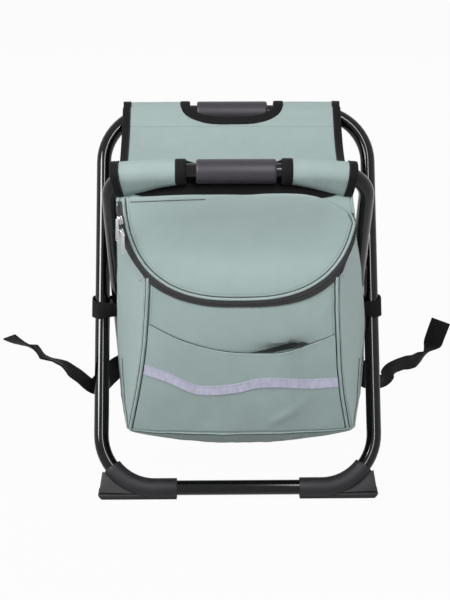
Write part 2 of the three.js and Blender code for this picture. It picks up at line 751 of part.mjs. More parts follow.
function pocketPanel(bottom, top, seat, thickness, steps) {
  return warpedBox(10, 1, steps, (u, v, w) => {
    const z = lerp(bottom(u), top(u), (w + 1) / 2);
    const x = u * (bagFrontHalf(z) - POCKET_EDGE);
    const y = pocketBack(x, z) - seat - (thickness * (1 - v)) / 2;
    return new THREE.Vector3(x, y, z);
  });
}

const stripeMiddle = (share) => STRIPE_HEIGHT + STRIPE_RISE * share * share;
const pocket = pocketPanel(() => pocketBottom, pocketMouth, 0, POCKET_THICKNESS, 8);
const stripe = pocketPanel(
  (share) => stripeMiddle(share) - STRIPE_WIDTH / 2,
  (share) => stripeMiddle(share) + STRIPE_WIDTH / 2,
  POCKET_THICKNESS + STRIPE_SEAT,
  STRIPE_THICKNESS,
  1,
);
addPiece(pivot, "front_pocket", pocket, mintFabric());
addPiece(pivot, "pocket_stripe", stripe, lilacTape());

// Frame loops: webbing round both tubes at each pivot, behind the bag

function roundedRectangle(path, left, right, low, high, corner) {
  path.absarc(right - corner, low + corner, corner, -Math.PI / 2, 0);
  path.absarc(right - corner, high - corner, corner, 0, Math.PI / 2);
  path.absarc(left + corner, high - corner, corner, Math.PI / 2, Math.PI);
  path.absarc(left + corner, low + corner, corner, Math.PI, 1.5 * Math.PI);
  path.closePath();
  return path;
}

function rightFrameLoop() {
  const left = INNER_INSIDE - 2 * CLEARANCE - RIVET_HEAD_HEIGHT;
  const right = OUTER_HALF + TUBE_RADIUS + 2 * CLEARANCE + RIVET_HEAD_HEIGHT;
  const deep = LOOP_HALF_DEPTH;
  const wall = WEBBING_THICKNESS;
  const band = roundedRectangle(
    new THREE.Shape(), left - wall, right + wall, -deep - wall, deep + wall, LOOP_CORNER + wall,
  );
  band.holes.push(roundedRectangle(new THREE.Path(), left, right, -deep, deep, LOOP_CORNER));
  return straightExtrude(band, WEBBING_WIDTH, 3).translate(0, 0, -WEBBING_WIDTH / 2);
}

addPiece(pivot, "right_frame_loop", rightFrameLoop(), blackWebbing());
addPiece(pivot, "left_frame_loop", mirrored(rightFrameLoop()), blackWebbing());

// Shoulder straps behind the bag, bowed away from its back, each with a buckle at its lower end

const strapStand = CLEARANCE + STRAP_THICKNESS / 2;

function strapPlace(share) {
  const z = lerp(STRAP_TOP, STRAP_BOTTOM, share);
  const backSlope = Math.atan2(bagBack(0) - bagBack(STRAP_TOP), STRAP_TOP);
  const bow = STRAP_BOW * Math.sin(Math.PI * Math.min(1, 1.25 * share) * 0.5) ** 2;
  return new THREE.Vector3(0, bagBack(z) + strapStand / Math.cos(backSlope) + bow, z);
}

function rightShoulderStrap() {
  const step = 0.02;
  return warpedBox(2, 1, 12, (u, v, w) => {
    const share = (1 - w) / 2;
    const middle = strapPlace(share);
    const along = strapPlace(share + step).sub(strapPlace(share - step)).normalize();
    const lift = (v * STRAP_THICKNESS) / 2;
    return new THREE.Vector3(
      STRAP_OFFSET + (u * STRAP_WIDTH) / 2,
      middle.y - lift * along.z,
      middle.z + lift * along.y,
    );
  });
}

const strapEnd = strapPlace(1);
const buckleTop = STRAP_BOTTOM - 2 * CLEARANCE - STRAP_THICKNESS / 8;
const buckleBottom = buckleTop - BUCKLE_HEIGHT;

function rightBuckle() {
  const plate = solidOf(new THREE.BoxGeometry(BUCKLE_WIDTH, BUCKLE_THICKNESS, BUCKLE_HEIGHT));
  const slotWidth = WEBBING_WIDTH + 4 * CLEARANCE;
  const slot = solidOf(new THREE.BoxGeometry(slotWidth, 2 * BUCKLE_THICKNESS, BUCKLE_SLOT));
  const upper = slot.translate([0, 0, BUCKLE_HEIGHT / 4]);
  const lower = slot.translate([0, 0, -BUCKLE_HEIGHT / 4]);
  const buckle = geometryOf(plate.subtract(upper).subtract(lower));
  return buckle.translate(STRAP_OFFSET, strapEnd.y, (buckleTop + buckleBottom) / 2);
}

// A flat ribbon along a smooth curve. Its flat side faces a given way, and it is as wide as webbing.
function ribbon(points, facing, steps) {
  const curve = new THREE.CatmullRomCurve3(points);
  return warpedBox(steps, 1, 2, (u, v, w) => {
    const share = (u + 1) / 2;
    const along = curve.getTangent(share);
    const wide = new THREE.Vector3().crossVectors(facing, along).normalize();
    const out = new THREE.Vector3().crossVectors(along, wide).normalize();
    return curve
      .getPoint(share)
      .addScaledVector(out, (-v * WEBBING_THICKNESS) / 2)
      .addScaledVector(wide, (-w * WEBBING_WIDTH) / 2);
  });
}

const forward = new THREE.Vector3(0, -1, 0);
const anchorY = BAG_BACK_Y + WEBBING_THICKNESS / 2 + CLEARANCE;

function rightAnchorWebbing() {
  const slant = Math.atan2(buckleBottom - ANCHOR_HEIGHT, ANCHOR_OUT - STRAP_OFFSET);
  const startZ = buckleBottom - CLEARANCE - (WEBBING_WIDTH / 2) * Math.cos(slant / 2);
  const start = new THREE.Vector3(STRAP_OFFSET, strapEnd.y, startZ);
  const end = new THREE.Vector3(ANCHOR_OUT, anchorY, ANCHOR_HEIGHT);
  const middle = start.clone().lerp(end, 0.7).setY(anchorY + STRAP_THICKNESS / 4);
  return ribbon([start, middle, end], forward, 6);
}

addPiece(pivot, "right_shoulder_strap", rightShoulderStrap(), blackWebbing());
addPiece(pivot, "left_shoulder_strap", mirrored(rightShoulderStrap()), blackWebbing());
addPiece(pivot, "right_strap_buckle", rightBuckle(), nylon());
addPiece(pivot, "left_strap_buckle", mirrored(rightBuckle()), nylon());
addPiece(pivot, "right_anchor_webbing", rightAnchorWebbing(), blackWebbing());
addPiece(pivot, "left_anchor_webbing", mirrored(rightAnchorWebbing()), blackWebbing());

// Strap tails: loose webbing ends that leave the buckles, pass behind the outer tubes and stick out

function tail(side, reach, depth, height) {
  const behind = strapEnd.y + BUCKLE_THICKNESS / 2 + CLEARANCE + WEBBING_THICKNESS / 2;
  const start = new THREE.Vector3(STRAP_OFFSET, behind, (buckleTop + buckleBottom) / 2);
  const clear = start.clone().setX(STRAP_OFFSET + BUCKLE_WIDTH / 2 + STRAP_THICKNESS);
  const pass = new THREE.Vector3(OUTER_INSIDE - BUCKLE_THICKNESS, TAIL_PASS_DEPTH, TAIL_PASS_HEIGHT);
  const tip = new THREE.Vector3(OUTER_HALF + reach, depth, height);
  const dipY = lerp(TAIL_PASS_DEPTH, depth, 0.2);
  const dip = new THREE.Vector3(OUTER_HALF + TUBE_DIAMETER, dipY, TAIL_PASS_HEIGHT - TAIL_DIP);
  const rising = dip.clone().lerp(tip, 0.45);
  rising.z -= TAIL_DIP / 2;
  const way = [start, clear, clear.clone().lerp(pass, 0.45), pass, dip, rising, tip];
  return ribbon(way.map((point) => point.clone().setX(side * point.x)), forward, 14);
}

const leftTail = tail(-1, LEFT_TAIL_REACH, LEFT_TAIL_DEPTH, LEFT_TAIL_HEIGHT);
const rightTail = tail(1, RIGHT_TAIL_REACH, RIGHT_TAIL_DEPTH, RIGHT_TAIL_HEIGHT);
addPiece(pivot, "left_strap_tail", leftTail, blackWebbing());
addPiece(pivot, "right_strap_tail", rightTail, blackWebbing());

export default stool;
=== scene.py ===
"""A folding stool with a cooler bag hung inside its frame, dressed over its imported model."""
import json
import math

import bpy
from bpy.props import FloatProperty, FloatVectorProperty, PointerProperty
from mathutils import Matrix, Vector, noise
from mathutils.bvhtree import BVHTree


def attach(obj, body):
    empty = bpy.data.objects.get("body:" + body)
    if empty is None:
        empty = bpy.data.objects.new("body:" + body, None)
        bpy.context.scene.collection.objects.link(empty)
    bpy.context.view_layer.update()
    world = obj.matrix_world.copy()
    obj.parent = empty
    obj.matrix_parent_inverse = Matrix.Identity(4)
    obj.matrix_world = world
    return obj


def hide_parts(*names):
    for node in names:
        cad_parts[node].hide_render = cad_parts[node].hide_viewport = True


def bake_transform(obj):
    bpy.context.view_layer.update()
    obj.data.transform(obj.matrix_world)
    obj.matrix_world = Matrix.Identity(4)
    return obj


bl_info = {
    "name": "Folding cooler stool",
    "version": (1, 0, 0),
    "blender": (4, 5, 0),
    "location": "View3D > Sidebar > Stool",
    "description": "Dresses a folding stool and its cooler bag over their packed frame",
    "category": "Object",
}

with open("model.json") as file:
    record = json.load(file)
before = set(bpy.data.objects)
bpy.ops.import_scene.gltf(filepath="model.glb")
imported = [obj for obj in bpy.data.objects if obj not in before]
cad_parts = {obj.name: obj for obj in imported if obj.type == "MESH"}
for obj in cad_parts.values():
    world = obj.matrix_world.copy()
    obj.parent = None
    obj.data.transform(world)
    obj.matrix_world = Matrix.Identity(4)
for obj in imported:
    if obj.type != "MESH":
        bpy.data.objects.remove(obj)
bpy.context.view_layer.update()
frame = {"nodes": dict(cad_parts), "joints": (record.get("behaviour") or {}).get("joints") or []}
FOLD = next(joint for joint in frame["joints"] if joint["name"] == "fold")
PIVOT = Vector(FOLD["pos_m"])

# Places below are millimetres from the pivot line: x to the right, y to the back, z up
LEAN = math.radians(32)
UPPER_LEG = 248.0
LOWER_LEG = 225.0
OUTER_HALF = 166.0
INNER_HALF = 144.5
OUTER_BEND = 65.0
INNER_BEND = 43.5
BAR_Y = UPPER_LEG * math.sin(LEAN)
BAR_Z = UPPER_LEG * math.cos(LEAN)

FOOT_REACH = 92.0
FOOT_SPREAD = 3.5
FOOT_BASE = 7.5
FOOT_SLEEVE_RADIUS = 11.8
FOOT_SLEEVE_TURN = math.radians(53)
FOOT_WEB = 14.0
REAR_GRIP_SHIFT = -4.6
FRONT_GRIP_SHIFT = -2.4

SLING_SHIFT = -5.0
SLING_HALF = 136.5
SLING_EDGE = math.radians(39)
SLEEVE_RADIUS = 12.8
SLEEVE_DROP = 18.0
SLEEVE_START = 53.0
SCALLOP_HALF = 55.0
SCALLOP_DEPTH = 22.5
SCALLOP_POWER = 2 / 2.6
SLEEVE_SEAM = 33.0

ZIP_TILT = math.radians(8.8)
ZIP_Y = -140.42
ZIP_Z = 195.32
ZIP_RADIUS = 129.6
UPPER_SLIDER_ANGLE = math.radians(15.5)
LOWER_SLIDER_ANGLE = math.radians(21.5)
SLIDER_OUTSET = 6.4
ZIP_STEPS = 120
LID_SHIFT = 2.0
LID_HALF = 130.5
LID_HEIGHT = 128.5
LID_CURVE = 2.6
LID_FOLD = -11.13
LID_RIGHT_FOLD = -27.0
LID_CUT_DEPTH = 11.0
BAG_TOP = 189.5
BAG_FRONT_BOTTOM = -110.0
BAG_BACK_BOTTOM = -148.0
BAG_BACK_TOP = 183.5
# Creases of the bag's front: each one's height, x, z, lean, half width and half length
FRONT_CREASES = ((1.8, -97, 75, 0, 5, 14), (1.8, 100, 57, 0.55, 4, 16), (1.6, 74.8, 48, -0.4, 5, 16))
POCKET_BOTTOM = BAG_FRONT_BOTTOM + 3
# The stripe's middle, as shares of the pocket's half width and heights
STRIPE_LINE = ((-1.0, 0, -20), (-0.74, 0, -30.5), (-0.46, 0, -46), (-0.24, 0, -47.5), (0.0, 0, -43.5),
               (0.2, 0, -37), (0.45, 0, -36.5), (0.72, 0, -40), (1.0, 0, -39.5))

STRAP_OFFSET = 58.0
STRAP_TOP = 156.0
STRAP_BOTTOM = -40.0
STRAP_HALF = 22.5
STRAP_SWELL = 3.5
BUCKLE_Z = -56.4
LEFT_TAIL = ((160, -14, -88), (178, -20, -101), (198, -33, -79), (214, -42, -62), (228, -50, -50),
             (239, -56, -39), (252, -63, -27.5), (263, -68, -20), (273, -72, -11.5))
LEFT_TWIST = ((0.35, 8), (0.42, 62), (0.55, 70), (0.62, 90), (0.68, 92), (0.76, 72), (0.84, 108), (1, 128))
RIGHT_TAIL = ((161, -12, -95), (182, 0, -106), (197, 13, -94), (212, 23, -91), (225, 30, -91.5),
              (240, 40, -88.5), (251.5, 50, -80), (257, 58, -69), (265, 66, -50))
RIGHT_TWIST = ((0.35, 0), (0.42, -25), (0.5, -22), (0.7, -18), (0.78, -50), (0.85, -82), (1, -130))
SIDES = ((-1, "left"), (1, "right"))

# Sizes in metres. LINING_DEPTH is how far the lining lies inside the bag's outer surface
GRIP_ROUNDING = 0.0032
FOOT_WALL = 0.0024
FOOT_BASE_WIDTH = 0.02
SLIDER_SIZE = (0.0058, 0.0036, 0.0098)
BUCKLE_SIZE = (0.036, 0.005, 0.03)
BUCKLE_SLOT = (0.0262, 0.02, 0.005)
BUCKLE_SLOT_Z = 0.0075
TAPE_THICKNESS = 0.0013
BAND_THICKNESS = 0.0012
STRIPE_THICKNESS = 0.0006
BINDING_THICKNESS = 0.0032
WEBBING_THICKNESS = 0.0018
WALL_THICKNESS = 0.002
LINING_DEPTH = 0.0026
LINING_THICKNESS = 0.0034


def linear(code):
    """The linear colour of a six-figure screen colour."""
    parts = [int(code[i:i + 2], 16) / 255 for i in (0, 2, 4)]
    return tuple(p / 12.92 if p <= 0.04045 else ((p + 0.055) / 1.055) ** 2.4 for p in parts)


def measure(name, words, default):
    """A length setting with its default in metres."""
    return FloatProperty(name=name, description=words, default=default, unit="LENGTH")


def colour(name, words, code):
    """A colour setting with its default."""
    return FloatVectorProperty(
        name=name, description=words, subtype="COLOR", size=3, min=0, max=1, default=linear(code))


class StoolSizes(bpy.types.PropertyGroup):
    """Sizes of the stool's dressed pieces."""

    tube_radius: measure("Tube radius", "Outer radius of both frame tubes", 0.009)
    grip_length: measure("Grip length", "Length of a foam grip along its bar", 0.0885)
    grip_radius: measure("Grip radius", "Outer radius of a foam grip", 0.0137)
    binding_width: measure("Binding width", "Width of the seat's edge binding", 0.0105)
    cloth_thickness: measure("Cloth thickness", "Thickness of the coated cloth", 0.0013)
    piping_radius: measure("Piping radius", "Radius of the corded seams", 0.0017)
    webbing_width: measure("Webbing width", "Width of the black webbing", 0.025)
    stripe_width: measure("Stripe width", "Width of the ribbon on the pocket", 0.013)
    stitch_pitch: measure("Stitch pitch", "Length of one stitch and its gap", 0.003)


class StoolColours(bpy.types.PropertyGroup):
    """Colours of the stool's finishes."""

    cloth: colour("Cloth", "Heathered cloth of the seat and the bag", "a4b7b5")
    paint: colour("Paint", "Gloss paint of the frame", "060607")
    foam: colour("Foam", "Foam of the grips", "39353d")
    plastic: colour("Plastic", "Moulded plastic of the feet", "1f1f22")
    webbing: colour("Webbing", "Woven webbing and edge binding", "0f0f10")
    tape: colour("Zip tape", "Woven tape of the zip", "0d0e0f")
    ribbon: colour("Ribbon", "Satin ribbon on the pocket", "c5c5db")
    foil: colour("Foil", "Foil lining of the cooler", "c3c6c8")
    steel: colour("Steel", "Plated steel of the rivets and the zip", "b4b5b6")


def sizes():
    return bpy.context.scene.stool_sizes


def colours():
    return bpy.context.scene.stool_colours


def lerp(a, b, share):
    return a + (b - a) * share


def along(count, spot):
    """What a function says at even shares from 0 to 1."""
    return [spot(i / count) for i in range(count + 1)]


def reading(table, at):
    """A value read in straight lines between the rows of a table of places and values."""
    if at <= table[0][0]:
        return table[0][1]
    for (x0, y0), (x1, y1) in zip(table, table[1:]):
        if at <= x1:
            return lerp(y0, y1, (at - x0) / (x1 - x0))
    return table[-1][1]


def place(x, y, z):
    """A point of the model, in metres, from millimetres about the pivot line."""
    return PIVOT + Vector((x, y, z)) / 1000


def smooth_path(points, steps):
    """Points at even steps along a smooth curve through the given ones."""
    points = [Vector(p) for p in points]
    ends = [2 * points[0] - points[1]] + points + [2 * points[-1] - points[-2]]
    found = []
    for i in range(len(points) - 1):
        p0, p1, p2, p3 = ends[i:i + 4]
        for k in range(steps):
            t = k / steps
            found.append(0.5 * (2 * p1 + (p2 - p0) * t + (2 * p0 - 5 * p1 + 4 * p2 - p3) * t * t
                                + (3 * p1 - p0 - 3 * p2 + p3) * t ** 3))
    return found + [points[-1]]


# Making and finishing meshes


def leave_edit():
    bpy.ops.object.mode_set(mode="OBJECT")


def deselect_all():
    if bpy.context.object and bpy.context.object.mode != "OBJECT":
        leave_edit()
    bpy.ops.object.select_all(action="DESELECT")


def pick(obj):
    """Selects one object alone."""
    deselect_all()
    obj.select_set(True)
    bpy.context.view_layer.objects.active = obj


def edit(obj):
    """Opens one object in edit mode with all of it selected."""
    pick(obj)
    bpy.ops.object.mode_set(mode="EDIT")
    bpy.ops.mesh.select_mode(type="VERT")
    bpy.ops.mesh.select_all(action="SELECT")


def choose(obj, kind, wanted):
    """Opens one object in edit mode with only its wanted corners, edges or faces selected."""
    edit(obj)
    bpy.ops.mesh.select_all(action="DESELECT")
    leave_edit()
    for part in {"VERT": obj.data.vertices, "EDGE": obj.data.edges, "FACE": obj.data.polygons}[kind]:
        part.select = wanted(part)
    bpy.ops.object.mode_set(mode="EDIT")
    bpy.ops.mesh.select_mode(type=kind)


def extrude(x, y, z):
    bpy.ops.mesh.extrude_region_move(TRANSFORM_OT_translate={"value": (x, y, z)})


def cut_up(obj, cuts):
    """Cuts every face of an object into even ones."""
    edit(obj)
    bpy.ops.mesh.subdivide(number_cuts=cuts)
    leave_edit()


def named(obj, name):
    obj.name = name
    obj.data.name = name
    return obj


def added(operator, name, **settings):
    """Runs an operator that adds a mesh, and names what it added."""
    deselect_all()
    operator(**settings)
    return named(bpy.context.object, name)


def modify(obj, kind, **settings):
    """Adds a modifier and applies it."""
    modifier = obj.modifiers.new(kind.lower(), kind)
    for key, value in settings.items():
        setattr(modifier, key, value)
    pick(obj)
    bpy.ops.object.modifier_apply(modifier=modifier.name)


def subdivide_smooth(obj):
    modify(obj, "SUBSURF", levels=1, render_levels=1)


def bevel(obj, width, segments):
    modify(obj, "BEVEL", width=width, segments=segments, limit_method="ANGLE")


def cut_with(obj, cutter, operation):
    modify(obj, "BOOLEAN", object=cutter, operation=operation, solver="EXACT")


def thicken(obj, thickness, offset=0.0):
    """Gives a sheet its thickness in metres, on both sides of it or to one side."""
    modify(obj, "SOLIDIFY", thickness=thickness, offset=offset)


def smooth(obj, degrees):
    pick(obj)
    bpy.ops.object.shade_smooth_by_angle(angle=math.radians(degrees))
    return obj


def settle(obj):
    """Puts an object's place and turn into its mesh."""
    pick(obj)
    bpy.ops.object.transform_apply(location=True, rotation=True, scale=True)
    return obj


def tidy_faces(obj):
    """Merges doubled corners and turns the faces outwards."""
    edit(obj)
    bpy.ops.mesh.remove_doubles(threshold=0.00002)
    bpy.ops.mesh.normals_make_consistent(inside=False)
    leave_edit()
    return obj


def joined(objects, name):
    deselect_all()
    for obj in objects:
        obj.select_set(True)
    bpy.context.view_layer.objects.active = objects[0]
    bpy.ops.object.join()
    return named(objects[0], name)


def copied(obj, name):
    pick(obj)
    bpy.ops.object.duplicate()
    return named(bpy.context.object, name)


def remove(obj):
    pick(obj)
    bpy.ops.object.delete()


def sheet(name, columns, rows, spot, width=1.0, length=1.0):
    """A sheet of columns by rows faces. Its corners go where spot(u, v) says, u and v from 0 to 1,
    and its UV map is in metres."""
    obj = added(bpy.ops.mesh.primitive_grid_add, name, x_subdivisions=columns, y_subdivisions=rows, size=2)
    for corner in obj.data.vertices:
        corner.co = spot((corner.co.x + 1) / 2, (corner.co.y + 1) / 2)
    for loop in obj.data.uv_layers.active.data:
        loop.uv = (loop.uv.x * width, loop.uv.y * length)
    return obj


def block(name, cuts, spot):
    """A box cut into even faces. Its corners go where spot(u, v, w) says, each from -1 to 1."""
    obj = added(bpy.ops.mesh.primitive_cube_add, name, size=2)
    cut_up(obj, cuts)
    for corner in obj.data.vertices:
        corner.co = spot(*corner.co)
    return obj


def cuboid(name, size, spot=(0, 0, 0)):
    """A box of a size in metres about a place."""
    obj = added(bpy.ops.mesh.primitive_cube_add, name, size=1)
    obj.scale = size
    obj.location = spot
    return settle(obj)


def prism(name, corners, ahead):
    """A solid between a flat outline and the same outline moved ahead."""
    obj = added(bpy.ops.mesh.primitive_circle_add, name, vertices=len(corners), radius=1, fill_type="NGON")
    for corner, spot in zip(obj.data.vertices, corners):
        corner.co = spot
    edit(obj)
    extrude(*ahead)
    leave_edit()
    return tidy_faces(obj)


def side_map(obj):
    """A UV map in metres, laid flat on each side of a boxy piece."""
    layer = obj.data.uv_layers.active or obj.data.uv_layers.new(name="UVMap")
    for face in obj.data.polygons:
        x, y, z = [abs(c) for c in face.normal]
        axes = (0, 2) if y >= max(x, z) else (1, 2) if x >= z else (0, 1)
        for index in face.loop_indices:
            spot = obj.data.vertices[obj.data.loops[index].vertex_index].co
            layer.data[index].uv = [spot[axis] for axis in axes]
    return obj


def path_curve(name, points):
    curve = bpy.data.curves.new(name, "CURVE")
    curve.dimensions = "3D"
    line = curve.splines.new("POLY")
    line.points.add(len(points) - 1)
    for spot, point in zip(line.points, points):
        spot.co = (*point, 1)
    obj = bpy.data.objects.new(name, curve)
    bpy.context.scene.collection.objects.link(obj)
    return obj


def piping(name, points, radius):
    """A round cord along points, with closed ends."""
    obj = path_curve(name, points)
    obj.data.bevel_depth = radius
    obj.data.bevel_resolution = 2
    obj.data.use_fill_caps = True
    pick(obj)
    bpy.ops.object.convert(target="MESH")
    return smooth(named(bpy.context.object, name), 60)


def stitches(name, points, pitch=None, width=0.0006, height=0.0005, share=0.68):
    """A row of small stitches along points."""
    pitch = pitch or sizes().stitch_pitch
    path = path_curve(name + "_line", points)
    obj = added(bpy.ops.mesh.primitive_uv_sphere_add, name, segments=6, ring_count=4, radius=1)
    obj.scale = (pitch * share / 2, width, height)
    settle(obj)
    modify(obj, "ARRAY", fit_type="FIT_CURVE", curve=path, use_relative_offset=False,
           use_constant_offset=True, constant_offset_displace=(pitch, 0, 0))
    modify(obj, "CURVE", object=path, deform_axis="POS_X")
    remove(path)
    return smooth(obj, 60)


def steps_ahead(points):
    """The way from the point before to the point after, at each point of a line."""
    last = len(points) - 1
    return [points[min(i + 1, last)] - points[max(i - 1, 0)] for i in range(last + 1)]


def run_length(points):
    return sum((a - b).length for a, b in zip(points, points[1:]))


def webbing_band(name, points, facing):
    """A flat band of webbing along points. At each share of it, its flat side faces a given way."""
    width = sizes().webbing_width
    last = len(points) - 1
    ways = steps_ahead(points)

    def spot(u, v):
        i = round(v * last)
        across = facing(i / last).cross(ways[i]).normalized()
        return points[i] + across * (u - 0.5) * width

    obj = sheet(name, 4, last, spot, width, run_length(points))
    thicken(obj, WEBBING_THICKNESS)
    return smooth(obj, 50)


# Finishes


def add_node(tree, kind, output, sockets, **settings):
    """Adds a node, sets or links its input sockets, and gives one of its outputs."""
    added_node = tree.nodes.new("ShaderNode" + kind)
    for key, value in settings.items():
        setattr(added_node, key, value)
    for key, value in sockets.items():
        if isinstance(value, bpy.types.NodeSocket):
            tree.links.new(value, added_node.inputs[key])
        else:
            added_node.inputs[key].default_value = value
    return added_node.outputs[output]


def shade(tone, factor):
    return tuple(min(1.0, c * factor) for c in tone)


class Finish:
    """A material under construction: its colour, its node tree and its shader."""

    def __init__(self, name, tone, coordinate="Object"):
        self.tone = tone
        self.material = bpy.data.materials.new(name)
        self.material.use_nodes = True
        self.tree = self.material.node_tree
        self.shader = self.tree.nodes["Principled BSDF"]
        self.coordinate = self.add("TexCoord", coordinate, {})

    def add(self, kind, output, sockets, **settings):
        return add_node(self.tree, kind, output, sockets, **settings)

    def mapped(self, stretch=(1, 1, 1)):
        return self.add("Mapping", "Vector", {"Scale": stretch, "Vector": self.coordinate})

    def noise(self, scale, detail=3.0, stretch=(1, 1, 1)):
        sockets = {"Scale": scale, "Detail": detail, "Vector": self.mapped(stretch)}
        return self.add("TexNoise", "Fac", sockets)

    def ridges(self, pitch, direction="X"):
        sockets = {"Scale": 0.314159 / pitch, "Vector": self.mapped()}
        return self.add("TexWave", "Fac", sockets, bands_direction=direction)

    def cells(self, scale, feature="F1"):
        return self.add("TexVoronoi", "Distance", {"Scale": scale, "Vector": self.mapped()}, feature=feature)

    def math(self, operation, a, b):
        return self.add("Math", "Value", {0: a, 1: b}, operation=operation)

    def mixed(self, a, share, b):
        """A share of one source with the rest of another."""
        return self.math("ADD", self.math("MULTIPLY", a, share), self.math("MULTIPLY", b, 1 - share))

    def coat(self, source, shades, low, high, wear=None):
        """Colours the finish by a source, from shades at places of it. Its roughness runs from low to high
        by the same source or by a wear of its own."""
        ramp = self.tree.nodes.new("ShaderNodeValToRGB")
        while len(ramp.color_ramp.elements) < len(shades):
            ramp.color_ramp.elements.new(0.5)
        for element, (spot, factor) in zip(ramp.color_ramp.elements, shades):
            element.position = spot
            element.color = (*shade(self.tone, factor), 1)
        self.tree.links.new(source, ramp.inputs["Fac"])
        self.tree.links.new(ramp.outputs["Color"], self.shader.inputs["Base Color"])
        sockets = {"Value": source if wear is None else wear, "To Min": low, "To Max": high}
        self.tree.links.new(self.add("MapRange", "Result", sockets), self.shader.inputs["Roughness"])

    def bump(self, source, distance, strength):
        """Adds relief over any relief already there."""
        normal = self.shader.inputs["Normal"]
        sockets = {"Strength": strength, "Distance": distance, "Height": source}
        if normal.is_linked:
            sockets["Normal"] = normal.links[0].from_socket
        self.tree.links.new(self.add("Bump", "Normal", sockets), normal)

    def done(self, **values):
        """The material, with values for other settings of its shader."""
        for key, value in values.items():
            self.shader.inputs[key.replace("_", " ")].default_value = value
        return self.material


def heathered_cloth(name, coordinate):
    made = Finish(name, colours().cloth, coordinate)
    flecks = made.noise(1100, 2.0, (1, 2.2, 1))
    clouds = made.noise(60)
    made.coat(made.mixed(flecks, 0.88, clouds), ((0.3, 0.78), (0.5, 1), (0.7, 1.2)), 0.78, 0.92, clouds)
    made.bump(made.math("MAXIMUM", made.ridges(0.0011), made.ridges(0.0011, "Y")), 0.00012, 0.5)
    made.bump(clouds, 0.0004, 0.3)
    return made.done(Sheen_Weight=0.12, Sheen_Roughness=0.5, Specular_IOR_Level=0.25)


def gloss_paint():
    made = Finish("gloss_paint", colours().paint)
    made.coat(made.noise(35, 4.0), ((0.35, 1), (0.75, 1.9)), 0.05, 0.11)
    made.bump(made.noise(700, 2.0), 0.00001, 0.2)
    return made.done(Specular_IOR_Level=0.27)


def grip_foam():
    made = Finish("grip_foam", colours().foam)
    made.coat(made.noise(90, 4.0), ((0.3, 0.92), (0.7, 1.08)), 0.4, 0.52)
    made.bump(made.cells(1500), 0.00006, 0.4)
    return made.done(Sheen_Weight=0.08, Sheen_Roughness=0.4, Specular_IOR_Level=0.3)


def moulded_plastic():
    made = Finish("moulded_plastic", colours().plastic)
    made.coat(made.noise(70, 5.0), ((0.3, 0.85), (0.65, 1), (0.85, 1.35)), 0.48, 0.66)
    made.bump(made.noise(1400, 2.0), 0.00008, 0.5)
    return made.done(Specular_IOR_Level=0.28)


def woven_webbing(name, pitch):
    made = Finish(name, colours().webbing, "UV")
    woven = made.math("MULTIPLY", made.ridges(pitch), made.ridges(pitch * 0.55, "Y"))
    clouds = made.noise(120)
    made.coat(made.mixed(woven, 0.45, clouds), ((0.2, 0.6), (0.5, 1), (0.85, 1.7)), 0.62, 0.8, clouds)
    made.bump(woven, 0.0003, 0.6)
    return made.done(Sheen_Weight=0.04, Sheen_Roughness=0.4, Specular_IOR_Level=0.12)


def zip_weave():
    made = Finish("zip_weave", colours().tape)
    flecks = made.noise(1600, 2.0)
    made.coat(flecks, ((0.3, 0.6), (0.7, 1.4)), 0.6, 0.8)
    made.bump(flecks, 0.0002, 0.5)
    return made.done()


def satin_ribbon():
    made = Finish("satin_ribbon", colours().ribbon, "UV")
    # Lighter and darker streaks in the ribbon's colour are a painted sheen.
    made.coat(made.noise(70, 3.0, (1, 3, 1)), ((0.3, 0.86), (0.7, 1.14)), 0.42, 0.6)
    made.bump(made.ridges(0.0009, "Y"), 0.00012, 0.5)
    return made.done(Sheen_Weight=0.3, Sheen_Roughness=0.3)


def crinkled_foil():
    made = Finish("crinkled_foil", colours().foil)
    creases = made.noise(130, 5.0)
    made.coat(creases, ((0.3, 0.82), (0.7, 1.08)), 0.2, 0.42)
    made.bump(made.cells(55, "DISTANCE_TO_EDGE"), 0.002, 0.5)
    made.bump(creases, 0.0015, 0.5)
    return made.done(Metallic=0.85)


def plated_steel():
    made = Finish("plated_steel", colours().steel)
    lines = made.noise(500, 3.0, (1, 1, 8))
    made.coat(lines, ((0.3, 0.8), (0.7, 1.1)), 0.24, 0.38)
    made.bump(lines, 0.00004, 0.4)
    return made.done(Metallic=1.0)


def sewing_thread(name, tone, factor):
    made = Finish(name, shade(tone, factor))
    made.coat(made.noise(2500, 2.0), ((0.3, 0.75), (0.7, 1.2)), 0.55, 0.75)
    return made.done()


# Each kind of finish with its slot in the record and its maker
FINISHES = {
    "cloth": ("mint_fabric", lambda: heathered_cloth("heathered_cloth", "UV")),
    "cloth_cord": ("mint_fabric", lambda: heathered_cloth("heathered_cord", "Object")),
    "paint": ("frame_paint", gloss_paint),
    "foam": ("grip_foam", grip_foam),
    "plastic": ("foot_plastic", moulded_plastic),
    "webbing": ("black_webbing", lambda: woven_webbing("woven_webbing", 0.0024)),
    "binding": ("black_webbing", lambda: woven_webbing("edge_binding", 0.0014)),
    "nylon": ("black_nylon", moulded_plastic),
    "tape": ("zip_tape", zip_weave),
    "ribbon": ("lilac_tape", satin_ribbon),
    "foil": ("cooler_foil", crinkled_foil),
    "steel": ("bright_steel", plated_steel),
    "cloth_thread": ("mint_fabric", lambda: sewing_thread("cloth_thread", colours().cloth, 0.55)),
    # Very dark cloth colour for lines and sheets of painted shade: beside seams, above the pocket's hem and
    # inside its mouth
    "painted_shade_line": ("mint_fabric", lambda: sewing_thread("painted_shade_cloth", colours().cloth, 0.12)),
    "dark_thread": ("black_webbing", lambda: sewing_thread("dark_thread", colours().webbing, 2.2)),
    "ribbon_thread": ("lilac_tape", lambda: sewing_thread("ribbon_thread", colours().ribbon, 0.8)),
}
MATERIALS = {}


def finish(kind):
    if kind not in MATERIALS:
        MATERIALS[kind] = FINISHES[kind][1]()
    return MATERIALS[kind]


